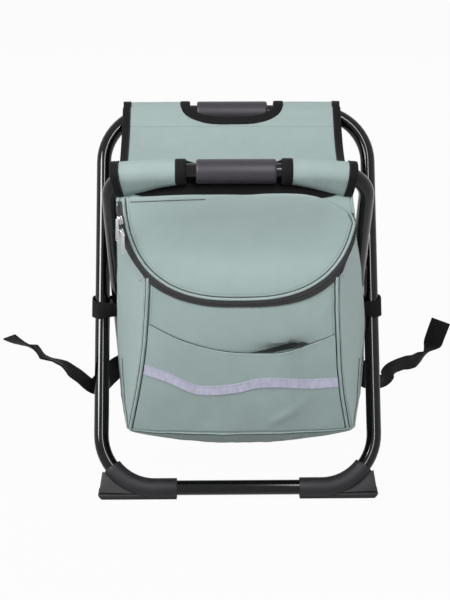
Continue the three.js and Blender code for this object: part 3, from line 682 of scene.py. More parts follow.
def dress(obj, kind, body=None, *nodes):
    """Gives a piece its finish, its body and the solids that it stands for."""
    obj.data.materials.clear()
    obj.data.materials.append(finish(kind))
    if body:
        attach(obj, body)
    if nodes:
        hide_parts(*nodes)
    return obj


# Frame tubes, grips and corner feet


def leant(obj, lean):
    """Turns a piece drawn in the upright frame plane by its frame's lean, about the pivot line."""
    obj.matrix_world = Matrix.Translation(PIVOT) @ Matrix.Rotation(lean, 4, "X") @ obj.matrix_world
    return settle(obj)


def frame_tube(name, half, bend, lean, body, node):
    """A closed loop of tube: four straights pulled out and four bends spun."""
    half, bend = half / 1000, bend / 1000
    obj = added(bpy.ops.mesh.primitive_circle_add, name, vertices=28, radius=sizes().tube_radius,
                location=(-half, 0, 0))
    edit(settle(obj))
    side = half - bend
    high, low = UPPER_LEG / 1000 - bend, bend - LOWER_LEG / 1000
    for x, z, way in ((-side, high, (0, 0, high)), (side, high, (2 * side, 0, 0)),
                      (side, low, (0, 0, low - high)), (-side, low, (-2 * side, 0, 0))):
        extrude(*way)
        bpy.ops.mesh.spin(steps=14, angle=-math.pi / 2, center=(x, 0, z), axis=(0, 1, 0))
    extrude(0, 0, -low)
    tidy_faces(obj)
    dress(smooth(leant(obj, lean), 60), "paint", body, node)


def grip(name, lean, body, node, shift):
    """A foam sleeve on a bar: a half outline, rounded at its ends, spun round the bar's axis."""
    half, outer = sizes().grip_length / 2, sizes().grip_radius
    inner = sizes().tube_radius + 0.0003
    near = 0.00001
    obj = added(bpy.ops.mesh.primitive_plane_add, name, size=1)
    obj.scale = (2 * half, outer - inner, 1)
    obj.location = (shift / 1000, (outer + inner) / 2, 0)

    def outer_end(corner):
        far = abs(abs(corner.co.x - shift / 1000) - half) < near
        return far and abs(corner.co.y - outer) < near

    def inside(line):
        a, b = [obj.data.vertices[i].co for i in line.vertices]
        x, y = (a.x + b.x) / 2 - shift / 1000, (a.y + b.y) / 2
        return inner + near < y < outer - near and abs(x) < half - GRIP_ROUNDING - 0.0002

    cut_up(settle(obj), 1)
    choose(obj, "VERT", outer_end)
    bpy.ops.mesh.bevel(offset=GRIP_ROUNDING, segments=5, affect="VERTICES")
    bpy.ops.mesh.select_all(action="SELECT")
    bpy.ops.mesh.delete(type="ONLY_FACE")
    choose(obj, "EDGE", inside)
    bpy.ops.mesh.delete(type="EDGE")
    bpy.ops.mesh.select_all(action="SELECT")
    bpy.ops.mesh.spin(steps=40, angle=2 * math.pi, center=(0, 0, 0), axis=(1, 0, 0))
    leave_edit()
    obj.location = (0, 0, UPPER_LEG / 1000)
    tidy_faces(settle(obj))
    dress(smooth(leant(obj, lean), 50), "foam", body, node)


def foot_sleeve(name, middle, start, bend):
    """The part of a foot round the tube: a short straight and most of the bend."""
    obj = added(bpy.ops.mesh.primitive_circle_add, name, vertices=32, rotation=(0, math.pi / 2, 0),
                radius=FOOT_SLEEVE_RADIUS / 1000)
    obj.location = (start / 1000, 0, -LOWER_LEG / 1000)
    edit(settle(obj))
    extrude((middle - start) / 1000, 0, 0)
    bpy.ops.mesh.spin(steps=12, angle=FOOT_SLEEVE_TURN, axis=(0, 1, 0),
                      center=(middle / 1000, 0, (bend - LOWER_LEG) / 1000))
    tidy_faces(obj)
    thicken(obj, FOOT_WALL, -1)
    bevel(obj, 0.0006, 2)
    return obj


def foot_web(name, middle, half, bend):
    """The flat web under a foot's sleeve, with a raised rim on both sides."""
    low = -LOWER_LEG
    reach, drop = bend + 6, bend - 25
    tip = middle + math.sqrt((bend + 10) ** 2 - drop * drop)
    floor = low - 9
    corners = [(middle - 10, low), (middle - 10, floor), (half + FOOT_SPREAD + 2, floor), (tip + 2, low + 25)]
    for i in range(1, 6):
        turn = lerp(math.acos(drop / reach), 0.1, i / 5)
        corners.append((middle + reach * math.sin(turn), low + bend - reach * math.cos(turn)))
    obj = prism(name, [(x / 1000, FOOT_WEB / 2000, z / 1000) for x, z in corners], (0, -FOOT_WEB / 1000, 0))
    choose(obj, "FACE", lambda face: abs(face.normal.y) > 0.9)
    bpy.ops.mesh.inset(thickness=0.0028, depth=0)
    bpy.ops.mesh.inset(thickness=0.0007, depth=-0.003)
    leave_edit()
    bevel(obj, 0.0009, 2)
    return obj


def foot(name, side, half, bend, lean, body, node):
    """A moulded corner foot: a sleeve round the tube's bend, a rimmed web under it and a flat base."""
    middle = half - bend
    sleeve = foot_sleeve(name + "_sleeve", middle, half - FOOT_REACH, bend)
    upper = joined([sleeve, foot_web(name + "_web", middle, half, bend)], name)
    if side < 0:
        upper.scale = (-1, 1, 1)
        edit(settle(upper))
        bpy.ops.mesh.flip_normals()
        leave_edit()
    leant(upper, lean)
    middle_y = LOWER_LEG * math.sin(lean) * 0.985
    tip, length = half + FOOT_SPREAD, FOOT_REACH + FOOT_SPREAD
    spot = place(side * (tip - length / 2), middle_y, FOOT_BASE / 2 - PIVOT.z * 1000)
    base = cuboid(name + "_base", (length / 1000, FOOT_BASE_WIDTH, FOOT_BASE / 1000), spot)
    cut_up(base, 3)
    for corner in base.data.vertices:
        if corner.co.z > 0.006:
            corner.co.y = lerp(corner.co.y, PIVOT.y + middle_y / 1000, 0.22)
        if abs(abs(corner.co.x - PIVOT.x) - tip / 1000) < 0.0005:
            corner.co.x -= side * 0.0045 * (1 - corner.co.z * 1000 / FOOT_BASE) ** 2
    bevel(base, 0.0018, 3)
    dress(smooth(joined([upper, base], name), 35), "plastic", body, node)


# Seat sling


def sling_rows():
    """Stations along the sling from the front sleeve's underside to the rear one's. Each has y, z, the way
    the cloth faces, where the cloth starts and ends across, and how far down the sleeve it hangs."""
    down = Vector((math.sin(LEAN), -math.cos(LEAN)))
    out = Vector((-math.cos(LEAN), -math.sin(LEAN)))
    bar = Vector((-BAR_Y, BAR_Z))
    leave = math.pi / 2 + LEAN + SLING_EDGE
    rows = []

    def ring(angle, hang, radius=SLEEVE_RADIUS):
        face = out * math.cos(angle) - down * math.sin(angle)
        spot = bar + face * radius
        lift = -(spot - bar).dot(down) - hang * SLEEVE_DROP
        end = SLING_HALF - (SLEEVE_RADIUS - lift) * 5 / 40
        rows.append((spot.x, spot.y, face, SLEEVE_START, min(end, SLING_HALF), hang))

    for i in range(3):
        ring(math.pi, i / 3, SLEEVE_RADIUS - 1.4)
    for i in range(9):
        ring(math.pi + math.pi * i / 8, 1)
    for i in range(1, 4):
        ring(0, 1 - i / 4)
    for i in range(11):
        ring(leave * i / 10, 0)
    end_y = BAR_Y - SLEEVE_RADIUS * math.sin(SLING_EDGE)
    end_z = BAR_Z + SLEEVE_RADIUS * math.cos(SLING_EDGE)
    sag = end_y * math.tan(SLING_EDGE) / 2

    def panel(y, inner):
        slope = 2 * sag * y / end_y ** 2
        face = Vector((-slope, 1)).normalized()
        rows.append((y, end_z - sag * (1 - (y / end_y) ** 2), face, inner, SLING_HALF, 0))

    first = math.asin(((BAR_Y - end_y) / SCALLOP_DEPTH) ** (1 / SCALLOP_POWER))
    for i in range(1, 15):
        angle = lerp(first, math.pi / 2, i / 14)
        inner = SCALLOP_HALF * max(0.0, math.cos(angle)) ** SCALLOP_POWER
        panel(-BAR_Y + SCALLOP_DEPTH * math.sin(angle) ** SCALLOP_POWER, inner if i < 14 else 0.0)
    edge = -BAR_Y + SCALLOP_DEPTH
    for i in range(1, 19):
        panel(edge * (1 - i / 18), 0.0)
    back = [(-y, z, Vector((-face.x, face.y)), *rest) for y, z, face, *rest in rows[:-1]]
    return rows + back[::-1]


def ripple(x, y, z, size, seed):
    """A smooth random height, about -1 to 1, that changes over a size in millimetres."""
    return noise.noise(Vector((x / size + seed, y / size, z / size)))


def rising(start, end, at):
    """0 before a start, 1 after an end, and smooth between them."""
    share = max(0.0, min(1.0, (at - start) / (end - start)))
    return share * share * (3 - 2 * share)


def sling_spot(row, x, lift=0.0):
    """A point of the sling's cloth at a row and across it: it droops where the tube bends away, and the
    sleeve hangs deeper towards its outer end."""
    y, z, face, _, _, hang = row
    front = y < 0
    droop = 0.3 if not front else 4.0 if x < 0 else 5.5
    near = rising(BAR_Y - 60, BAR_Y - 14, abs(y))
    droop *= near * rising(80, SLING_HALF + 8, abs(x))
    drop = droop + hang * lerp(1.5, SLEEVE_DROP, rising(50, 128, abs(x)))
    away = Vector((math.sin(LEAN) if front else -math.sin(LEAN), -math.cos(LEAN))) * drop
    free = max(0.0, 1 - (y / (BAR_Y - 12)) ** 4)
    wave = 1.3 * ripple(x, y, 0, 46, 3) + 0.5 * ripple(x, y, 0, 17, 8)
    wave = wave * (0.3 + free) - 3.0 * free * math.exp(-((abs(x) - 70) / 60) ** 2)
    if abs(y) > BAR_Y - 12:
        wave = 0.3 * wave + 0.35 * ripple(x, hang * 20, z, 15, 31)
    seam = BAR_Y - SLEEVE_SEAM
    wave += 0.9 * rising(seam - 1.5, seam + 1.5, abs(y)) * (1 - rising(BAR_Y - 14, BAR_Y - 6, abs(y)))
    spot = Vector((y, z)) + away + face * (lift + wave)
    return place(x + SLING_SHIFT, spot.x, spot.y)


def row_lengths(rows):
    found = [0.0]
    for a, b in zip(rows, rows[1:]):
        found.append(found[-1] + math.hypot(b[0] - a[0], b[1] - a[1]))
    return found


def bound_edge(name, rows, spot, width, length):
    """A strip of edge binding."""
    trim = sheet(name, 4, rows, spot, width, length)
    thicken(trim, BINDING_THICKNESS)
    subdivide_smooth(trim)
    return smooth(trim, 60)


def build_seat():
    rows = sling_rows()
    last = len(rows) - 1
    run = row_lengths(rows)
    halves = []
    for side in (-1, 1):
        def spot(u, v):
            row = rows[round(v * last)]
            return sling_spot(row, side * lerp(row[3], row[4], u))
        half = sheet(f"half_{side}", 28, last, spot)
        for loop in half.data.uv_layers.active.data:
            u, v = loop.uv
            row = rows[round(v * last)]
            loop.uv = (side * lerp(row[3], row[4], u) / 1000, run[round(v * last)] / 1000)
        halves.append(half)
    seat = tidy_faces(joined(halves, "seat_sling"))
    subdivide_smooth(seat)
    thicken(seat, sizes().cloth_thickness)
    smooth(seat, 60)
    dress(seat, "cloth", None, "seat_panel", "front_left_seat_sleeve", "front_right_seat_sleeve",
          "rear_left_seat_sleeve", "rear_right_seat_sleeve")
    width = sizes().binding_width * 1000
    trims = []
    for side, word in SIDES:
        def edge(u, v):
            row = rows[round(v * last)]
            return sling_spot(row, side * (row[4] + 0.6 - width * u))
        trim = bound_edge(f"{word}_seat_binding", last, edge, width / 1000, run[-1] / 1000)
        trims.append(dress(trim, "binding"))
        line = [sling_spot(row, side * (row[4] - width + 1.8), 1.5) for row in rows[12:-12]]
        trims.append(dress(stitches(f"{word}_binding_stitches", line), "dark_thread"))
    for piece in [seat] + trims:
        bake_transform(piece)
    seam_y = BAR_Y - SLEEVE_SEAM
    scallop_bindings(rows)
    for y, word, body in ((-seam_y, "front", "inner_frame"), (seam_y, "rear", "outer_frame")):
        row = min(rows, key=lambda r: abs(r[0] - y))
        line = along(60, lambda share: sling_spot(row, lerp(-126, 126, share), 0.9))
        dress(stitches(f"{word}_sleeve_stitches", line, width=0.0004), "cloth_thread", body)


def scallop_bindings(rows):
    """Binding round each sleeve's inner end and along the scallop between them."""
    cut = next(i for i, row in enumerate(rows) if row[3] == 0)
    edge_rows = rows[:cut + 1]
    width = sizes().binding_width * 1.22
    for flip, word, body in ((1, "front", "inner_frame"), (-1, "rear", "outer_frame")):
        def turned(row):
            y, z, face, *rest = row
            return (y * flip, z, Vector((face.x * flip, face.y)), *rest)
        left = [(turned(row), -row[3]) for row in edge_rows]
        right = [(turned(row), row[3]) for row in edge_rows[::-1]]
        line = left + right[1:]
        spots = [sling_spot(row, x) for row, x in line]
        last = len(spots) - 1
        inward = []
        for (row, x), ahead in zip(line, steps_ahead(spots)):
            across = Vector((0, row[2].x, row[2].y)).cross(ahead).normalized()
            toward = Vector((math.copysign(1, x) if abs(x) > 1 else 0, 0, 0))
            if row[3] < SLEEVE_START:
                toward += Vector((0, row[2].y * flip, -row[2].x * flip))
            if across.dot(toward) < 0:
                across.negate()
            inward.append(across)

        def spot(u, v):
            i = round(v * last)
            return spots[i] + inward[i] * (u * width - 0.0006)
        trim = bound_edge(f"{word}_scallop_binding", last, spot, width, run_length(spots))
        dress(trim, "binding", body)


# Cooler bag


def lid_reach(x, z):
    """How far out a place lies from the middle of the lid's top: 1 on the lid's curved edge."""
    down = max(0.0, ZIP_Z - z) / math.cos(ZIP_TILT) / LID_HEIGHT
    across = abs(x - LID_SHIFT) / LID_HALF
    return (across ** LID_CURVE + down ** LID_CURVE) ** (1 / LID_CURVE), down


def lid_tuck(h):
    """How far the lid's right edge turns in near its top, by the height below the zip's middle."""
    return 4.0 * min(1.2, max(0.0, (h + 45) / 18)) ** 2


def lid_half(z):
    """Half the lid's width at a height."""
    _, down = lid_reach(0, z)
    return LID_HALF * max(0.0, 1 - down ** LID_CURVE) ** (1 / LID_CURVE)


def bag_front(x, z):
    """How far back the bag's front lies at a place across and up it. Below the zip it rounds away, and
    above it the slack lid is hollow under its top fold and flares towards the zip."""
    plane = ZIP_Y - (ZIP_Z - z) * math.tan(ZIP_TILT)
    reach, down = lid_reach(x, z)
    if reach > 1:
        return plane + 12 * (reach ** 2 - 1)
    hollow = reading([(0, -13), (0.12, -9.5), (0.35, 0), (0.6, 7), (0.78, 2), (0.91, -5.5), (1, -0.5)], down)
    return plane + hollow * (1 - reach ** 4)


def bag_back(z):
    """How far back the bag's back lies at a height."""
    return reading([(0, -21.12), (BAG_BACK_TOP, -122.41)], z)


def front_seams(z):
    """Where the front's left and right edges lie at a height. Up beside the lid they follow its curve."""
    left = reading([(-110, -132), (-60, -122), (-20, -115), (13, -110.5), (50, -107.5), (81, -105)], z)
    right = reading([(-110, 138), (-60, 127), (-20, 120.5), (13, 117), (50, 114.5), (81, 113.5)], z)
    if z > 60:
        left = min(left, LID_SHIFT - lid_half(z) - reading([(80, 9.6), (140, 7)], z))
        right = max(right, LID_SHIFT + lid_half(z) + reading([(80, 9.6), (120, 5), (140, 2)], z))
        right -= lid_tuck((z - ZIP_Z) / math.cos(ZIP_TILT))
    return left, right


def cord_places(z):
    """Where the cords of the front's two upright seams lie, a little inside its edges."""
    left, right = front_seams(z)
    return left + 3.5, right - reading([(-110, 8), (13, 3.5)], z)


def back_edges(z):
    """Where the back's left and right edges lie at a height."""
    left = reading([(-148, -141.5), (-110, -145.7), (-60, -148), (0, -147.7), (70, -143), (183.5, -134.5)], z)
    right = reading([(-148, 150), (-110, 155), (-60, 157.5), (0, 156.4), (70, 147.5), (110, 139),
                     (140, 134.3), (183.5, 127)], z)
    return left, right


def bag_spot(u, v, w):
    """A point of the bag's closed form: u to the right, v to the back and w up, each from -1 to 1."""
    rise = (w + 1) / 2
    back = (v + 1) / 2
    shoulder = 7 * abs(u) ** 2.2 if u < 0 else 38 * u ** 5.7
    front_z = lerp(BAG_FRONT_BOTTOM, BAG_TOP - shoulder, rise)
    under_bar = [(0, 16), (0.28, 17), (0.4, 18), (0.5, 16), (0.62, 12), (0.78, 7), (0.95, 1), (1, 0)]
    back_z = lerp(BAG_BACK_BOTTOM, BAG_BACK_TOP, rise)
    raised_back_z = back_z + reading(under_bar, abs(u)) * rising(0.8, 1, rise)
    front_x = lerp(*front_seams(front_z), (u + 1) / 2)
    back_x = lerp(*back_edges(back_z), (u + 1) / 2)
    x = lerp(front_x, back_x, back) + 0.8 * u ** 5 * (1 - v * v) * (1 - w ** 4)
    y = lerp(bag_front(front_x, front_z), bag_back(back_z), back)
    middle = 1 - u * u
    sag = (20 * (0.3 + 0.7 * middle) * (1 - v * v) + 3.5 * middle * (1 - back)) * (1 - rise) ** 3
    sag += 16 * (1 - v * v) * rising(-1, 0, v) * rising(0.9, 1, rise) * (1 - 0.7 * u ** 4)
    z = lerp(front_z, raised_back_z, back) - sag
    return place(x, y, z)


class Skin:
    """The bag's uncut outer surface, to lay seams and panels on."""

    def __init__(self, obj):
        self.tree = BVHTree.FromObject(obj, bpy.context.evaluated_depsgraph_get())

    def front(self, x, z, lift=0.0):
        """The place in front of the surface at x and z, in millimetres, standing off it by a lift."""
        start = place(x, -400, z)
        spot, normal, _, _ = self.tree.ray_cast(start, Vector((0, 1, 0)))
        if spot is None:
            spot, normal, _, _ = self.tree.find_nearest(place(x, bag_front(x, z), z))
        return spot + normal * lift / 1000

    def near(self, point, lift=0.0):
        spot, normal, _, _ = self.tree.find_nearest(point)
        return spot + normal * lift / 1000


def bag_form():
    """The bag's closed form with its creases and small folds, before it is cut."""
    form = block("bag_form", 23, bag_spot)
    subdivide_smooth(form)
    for corner in form.data.vertices:
        x, y, z = (corner.co - PIVOT) * 1000
        fold = 1.1 * ripple(x, y, z, 55, 1) + 0.4 * ripple(x, y, z, 21, 5)
        low = 1 - rising(-118, -85, z)
        fold += 1.3 * low * math.exp(-(x / 75) ** 2) * ripple(x * 2, y, z * 0.4, 30, 9)
        if y < -120:
            fold -= pocket_dent(x, z)
            for height, crease_x, crease_z, lean, width, length in FRONT_CREASES:
                off = (x - crease_x - (z - crease_z) * lean) / width
                fold += height * math.exp(-off ** 2 - ((z - crease_z) / length) ** 2)
        corner.co += corner.normal * fold / 1000
    tidy_faces(form)
    return side_map(form)


def lid_edge(offset, fold=LID_FOLD, steps=72, right_fold=None):
    """Points of the lid's curved edge, moved out by an offset: across and down the zip plane."""
    width, height = LID_HALF + offset, LID_HEIGHT + offset
    power = 2 / LID_CURVE
    start, end = [math.asin((-h / height) ** (1 / power)) for h in (fold, right_fold or fold)]
    found = []
    for i in range(steps + 1):
        angle = lerp(math.pi - start, end, i / steps)
        across = width * math.copysign(abs(math.cos(angle)) ** power, math.cos(angle))
        h = -height * math.sin(angle) ** power
        found.append((LID_SHIFT + across - (lid_tuck(h) if across > 0 else 0), h))
    return found


def zip_place(x, h, out=0.0):
    """A point by its place in the tilted zip plane, standing out of it."""
    y = ZIP_Y + h * math.sin(ZIP_TILT) - out * math.cos(ZIP_TILT)
    z = ZIP_Z + h * math.cos(ZIP_TILT) + out * math.sin(ZIP_TILT)
    return place(x, y, z)


def lid_prism(name, offset, fold=LID_FOLD, inset=1.2):
    """A cutter through the bag's front, inside the lid's edge and inset from the front's right edge."""
    corners = []
    for x, h in lid_edge(offset, fold):
        edge = front_seams(ZIP_Z + h * math.cos(ZIP_TILT))[1] - inset
        corners.append(zip_place(min(x, edge), h, -LID_CUT_DEPTH))
    return prism(name, corners, zip_place(0, 0, 40) - zip_place(0, 0, -LID_CUT_DEPTH))


def skin_part(name, form, skin, cutter, operation, depth, thickness):
    """The part of the bag's outer surface inside or outside a cutter, moved in by a depth and thickened."""
    part = copied(form, name)
    cut_with(part, cutter, operation)
    blade = Skin(cutter)

    def cut_face(face):
        off_skin = skin.tree.find_nearest(face.center)[3]
        off_blade = blade.tree.find_nearest(face.center)[3]
        return off_blade < 0.0002 and off_skin > 0.0003

    choose(part, "FACE", cut_face)
    bpy.ops.mesh.delete(type="FACE")
    leave_edit()
    start = part.data.vertices[0].co.copy()
    inward = [corner.normal * depth for corner in part.data.vertices]
    thicken(part, depth + thickness, -1)
    first = 0 if (part.data.vertices[0].co - start).length < 0.00001 else len(inward)
    for i, shift in enumerate(inward):
        part.data.vertices[first + i].co -= shift
    return part


def build_bag():
    form = bag_form()
    skin = Skin(form)
    cloth, foil = ("cloth", 0, WALL_THICKNESS), ("foil", LINING_DEPTH, LINING_THICKNESS)
    opening, flap = lid_prism("opening", 5.5), lid_prism("flap", 0.0)
    wide, narrow = lid_prism("wide", 11.0, inset=-20), lid_prism("narrow", -4.5, LID_FOLD - 8)
    for name, cutter, operation, (kind, depth, thickness), body, node in (
            ("bag_shell", opening, "DIFFERENCE", cloth, "inner_frame", "bag_body"),
            ("lid_cloth", flap, "INTERSECT", cloth, "lid", "lid_panel"),
            ("bag_lining", wide, "DIFFERENCE", foil, "inner_frame", "cooler_liner"),
            ("lid_lining", narrow, "INTERSECT", foil, "lid", "lid_insulation")):
        piece = skin_part(name, form, skin, cutter, operation, depth, thickness)
        remove(cutter)
        dress(smooth(piece, 35), kind, body, node)
    bag_seams(skin)
    build_zip(skin)
    build_pocket(skin)
    remove(form)


def beside(points, skin, gap, lift):
    """A line on the bag beside another one, at a gap in millimetres to its side."""
    found = []
    for point, ahead in zip(points, steps_ahead(points)):
        normal = skin.tree.find_nearest(point)[1]
        across = normal.cross(ahead.normalized()).normalized()
        found.append(skin.near(point + across * gap / 1000, lift))
    return found


def seam(name, points, skin, sides=(1, -1), painted_shade_line=0.0006, cord=1.0, body="inner_frame"):
    """A corded seam along points of the bag, with thin dark lines beside it that are painted shade where
    the cloth turns under, and a row of stitches past each."""
    radius = sizes().piping_radius * cord
    dress(piping(name, points, radius), "cloth_cord", body)
    gap = radius * 1000 + painted_shade_line * 1000 * 1.3
    lines = [piping(f"{name}_line", beside(points, skin, side * gap, 0.12), painted_shade_line) for side in sides]
    dress(joined(lines, f"{name}_painted_shade_lines"), "painted_shade_line", body)
    for side in sides:
        word = "right" if side > 0 else "left"
        line = beside(points, skin, side * (gap + 3.2), 0.05)
        dress(stitches(f"{name}_{word}_stitches", line, width=0.00035, height=0.0003), "cloth_thread", body)


def side_depth(up):
    """How far back the seam on each side of the bag lies, by the height up it, in shares from -1 to 1."""
    table = [(-0.97, -0.75), (-0.9, -0.3), (-0.78, 0.2), (-0.55, 0.39), (-0.25, 0.52), (0.4, 0.6)]
    return reading(table, up)


def bag_seams(skin):
    def line(count, lift, start, end):
        """A line on the bag between two places of its form, standing off it by a lift."""
        def spot(share):
            return skin.near(bag_spot(*(lerp(a, b, share) for a, b in zip(start, end))), lift)
        return along(count, spot)

    for index, (side, word) in enumerate(SIDES):
        heights = along(40, lambda share: lerp(94, -108, share))
        upright = [skin.front(cord_places(z)[index], z, 0.9) for z in heights]
        seam(f"{word}_front_seam", upright, skin, painted_shade_line=0.0007)
        rises = along(40, lambda share: lerp(-0.42, -0.97, share))
        curved = [skin.near(bag_spot(side, side_depth(up), up), 0.3) for up in rises]
        seam(f"{word}_side_seam", curved, skin, (-side,), painted_shade_line=0.0007)
    low = line(60, 0.5, (-0.99, -0.98, -0.985), (0.99, -0.98, -0.985))
    seam("bottom_seam", low, skin, (-1,), painted_shade_line=0.0009, cord=0.7)
    # A thin dark line along the left part of the top's front edge is painted shade under that edge.
    rim = line(20, 0.2, (-0.88, -1, 0.97), (-0.25, -1, 0.97))
    dress(piping("top_painted_shade_line", rim, 0.0005), "painted_shade_line", "inner_frame")
    for side, word in SIDES:
        edge = side * 0.985
        seam(f"{word}_top_seam", line(24, 0.5, (edge, -0.6, 0.985), (edge, 0.95, 0.985)), skin, (-side,))
        seam(f"{word}_back_seam", line(40, 0.5, (edge, 0.985, 0.97), (edge, 0.985, -0.97)), skin, (-side,))

    # A band of black webbing under the front bar, from the top fold back, is a dark sheet of painted shade
    # for the deep shadow there.
    def shade_band_spot(u, v):
        deep = lerp(0.05 + 0.8 * abs(2 * u - 1) ** 4, 0.95, v)
        return skin.near(bag_spot(lerp(-0.9, 0.9, u), deep, 1), 0.9)
    band = sheet("painted_shade_band", 44, 16, shade_band_spot, 0.24, 0.03)
    thicken(band, BAND_THICKNESS)
    dress(smooth(band, 50), "webbing", "inner_frame")
    seam("back_bottom_seam", line(60, 0.5, (-0.97, 0.98, -0.985), (0.97, 0.98, -0.985)), skin, (1,))


def build_zip(skin):
    def band(name, start, end, fold, swell=0.0):
        inner, outer = [lid_edge(offset, fold, ZIP_STEPS, LID_RIGHT_FOLD) for offset in (start, end)]

        def spot(u, v):
            i = round(v * ZIP_STEPS)
            share = u * (1 + swell * math.exp(-((inner[i][0] - 80) / 40) ** 2))
            x, h = [lerp(a, b, share) for a, b in zip(inner[i], outer[i])]
            edge = front_seams(ZIP_Z + h * math.cos(ZIP_TILT))[1]
            return skin.near(zip_place(x, h, -1.2 * max(0.0, x - edge)), 0.7)
        obj = sheet(name, 3, ZIP_STEPS, spot, (end - start) / 1000, 0.5)
        thicken(obj, TAPE_THICKNESS)
        return smooth(obj, 50)

    def line(offset, fold, steps, lift):
        edge = lid_edge(offset, fold, steps, LID_RIGHT_FOLD)
        return [skin.near(zip_place(x, h), lift) for x, h in edge]

    dress(band("lid_tape", 0.1, 3.3, LID_FOLD - 6), "tape", "lid", "lid_zip_tape")
    dress(band("body_tape", 3.6, 7.8, LID_FOLD - 10, 0.45), "tape", "inner_frame", "body_zip_tape")
    coil = stitches("zip_coil", line(3.45, LID_FOLD - 6, 160, 1.3), 0.0016, 0.0016, 0.0006, 0.7)
    dress(coil, "tape", "inner_frame")
    seam("lid_piping", line(-1.6, LID_FOLD - 1, ZIP_STEPS, 0.5), skin, (1,), body="lid")
    zip_slider("upper", UPPER_SLIDER_ANGLE, -1, -0.6)
    zip_slider("lower", LOWER_SLIDER_ANGLE, 1, 2.6)


def zip_slider(name, angle, side, outset):
    """A slider with its bridge, and a pull with an eye at its end."""
    carriage = (Matrix.Translation(place(0, ZIP_Y, ZIP_Z)) @ Matrix.Rotation(-ZIP_TILT, 4, "X")
                @ Matrix.Rotation(-angle, 4, "Y")
                @ Matrix.Translation((-(ZIP_RADIUS + SLIDER_OUTSET + outset) / 1000, 0, 0)))
    hanging = carriage @ Matrix.Rotation(angle, 4, "Y")
    front = -0.0015
    obj = cuboid(f"{name}_slider", SLIDER_SIZE, (0, front - SLIDER_SIZE[1] / 2, 0))
    cut_up(obj, 1)
    for corner in obj.data.vertices:
        if corner.co.z < -0.003:
            corner.co.x *= 0.72
        if abs(corner.co.z) < 0.001:
            corner.co.x *= 1.08
    bevel(obj, 0.0009, 3)
    bow = ((0.0034, 0.0042), (0.0052, 0.0036), (0.0058, 0.0012), (0.0054, -0.0016), (0.0034, -0.0026))
    bridge = piping(f"{name}_bridge", smooth_path([(0, front - out, z) for out, z in bow], 5), 0.0011)
    obj = joined([obj, bridge], f"{name}_slider")
    obj.matrix_world = carriage
    dress(smooth(settle(obj), 40), "steel", f"{name}_slider", f"{name}_zip_slider")
    half, eye = 0.0015, 0.0021
    top, eye_z = 0.0012, -0.0205
    middle, depth = side * 0.0023 - 0.001, front - 0.0066

    def half_round(steps, start, radius, z):
        turns = along(steps, lambda share: start + math.pi * share)
        return [(middle + radius * math.cos(t), depth, z + radius * math.sin(t)) for t in turns]
    outline = half_round(8, 0, half, top) + half_round(12, math.pi, eye, eye_z)
    pull = prism(f"{name}_pull", outline, (0, -0.0014, 0))
    drill = added(bpy.ops.mesh.primitive_cylinder_add, "drill", vertices=20, radius=0.0013, depth=0.01,
                  rotation=(math.pi / 2, 0, 0), location=(middle, depth, eye_z))
    cut_with(pull, settle(drill), "DIFFERENCE")
    remove(drill)
    bevel(pull, 0.0003, 2)
    pull.matrix_world = hanging
    dress(smooth(settle(pull), 40), "steel", f"{name}_pull", f"{name}_zip_pull")


def pocket_mouth(share):
    """The height of the pocket's curved mouth at a share of its half width."""
    return 1.6 + 28.5 * share * share - 7.3 * share


def pocket_dent(x, z):
    """How deep the bag's front is pushed in behind the pocket's gaping mouth."""
    left, right = cord_places(z)
    above = z - pocket_mouth((2 * x - left - right) / (right - left)) - 2
    across = math.exp(-((x - 58) / (34 if x < 58 else 18)) ** 2)
    return 10 * across * math.exp(-(above / (6.5 if above > 0 else 30)) ** 2)


def pocket_place(skin, share, z, lift=0.0):
    """A point of the pocket's cloth at a share of its half width and a height."""
    left, right = cord_places(z)
    x = lerp(left + 3.2, right - 3.2, (share + 1) / 2)
    rise = max(0.0, min(1.05, (z - POCKET_BOTTOM) / (pocket_mouth(share) - POCKET_BOTTOM)))
    gape = 1.0 * (1 - share ** 4) + 3.5 * math.exp(-((x - 55) / (30 if x < 55 else 22)) ** 2)
    slack = gape * rise * (1 - share ** 6) + pocket_dent(x, z)
    folds = 1.1 * ripple(x * 2.2, 0, z * 0.5, 30, 12) * (1 - rise) + 0.9 * ripple(x, 0, z, 34, 15)
    crease = 2.0 * math.exp(-(((x - 50) * 0.62 - (z + 88) * 0.78) / 6) ** 2)
    crease *= math.exp(-((x - 50) / 26) ** 2)
    edge = min(1.0, 6 * (1 - abs(share)), 5 * rise + 0.1)
    return skin.front(x, z, 0.9 + lift) + Vector((0, -(slack + (folds + crease) * edge) / 1000, 0))


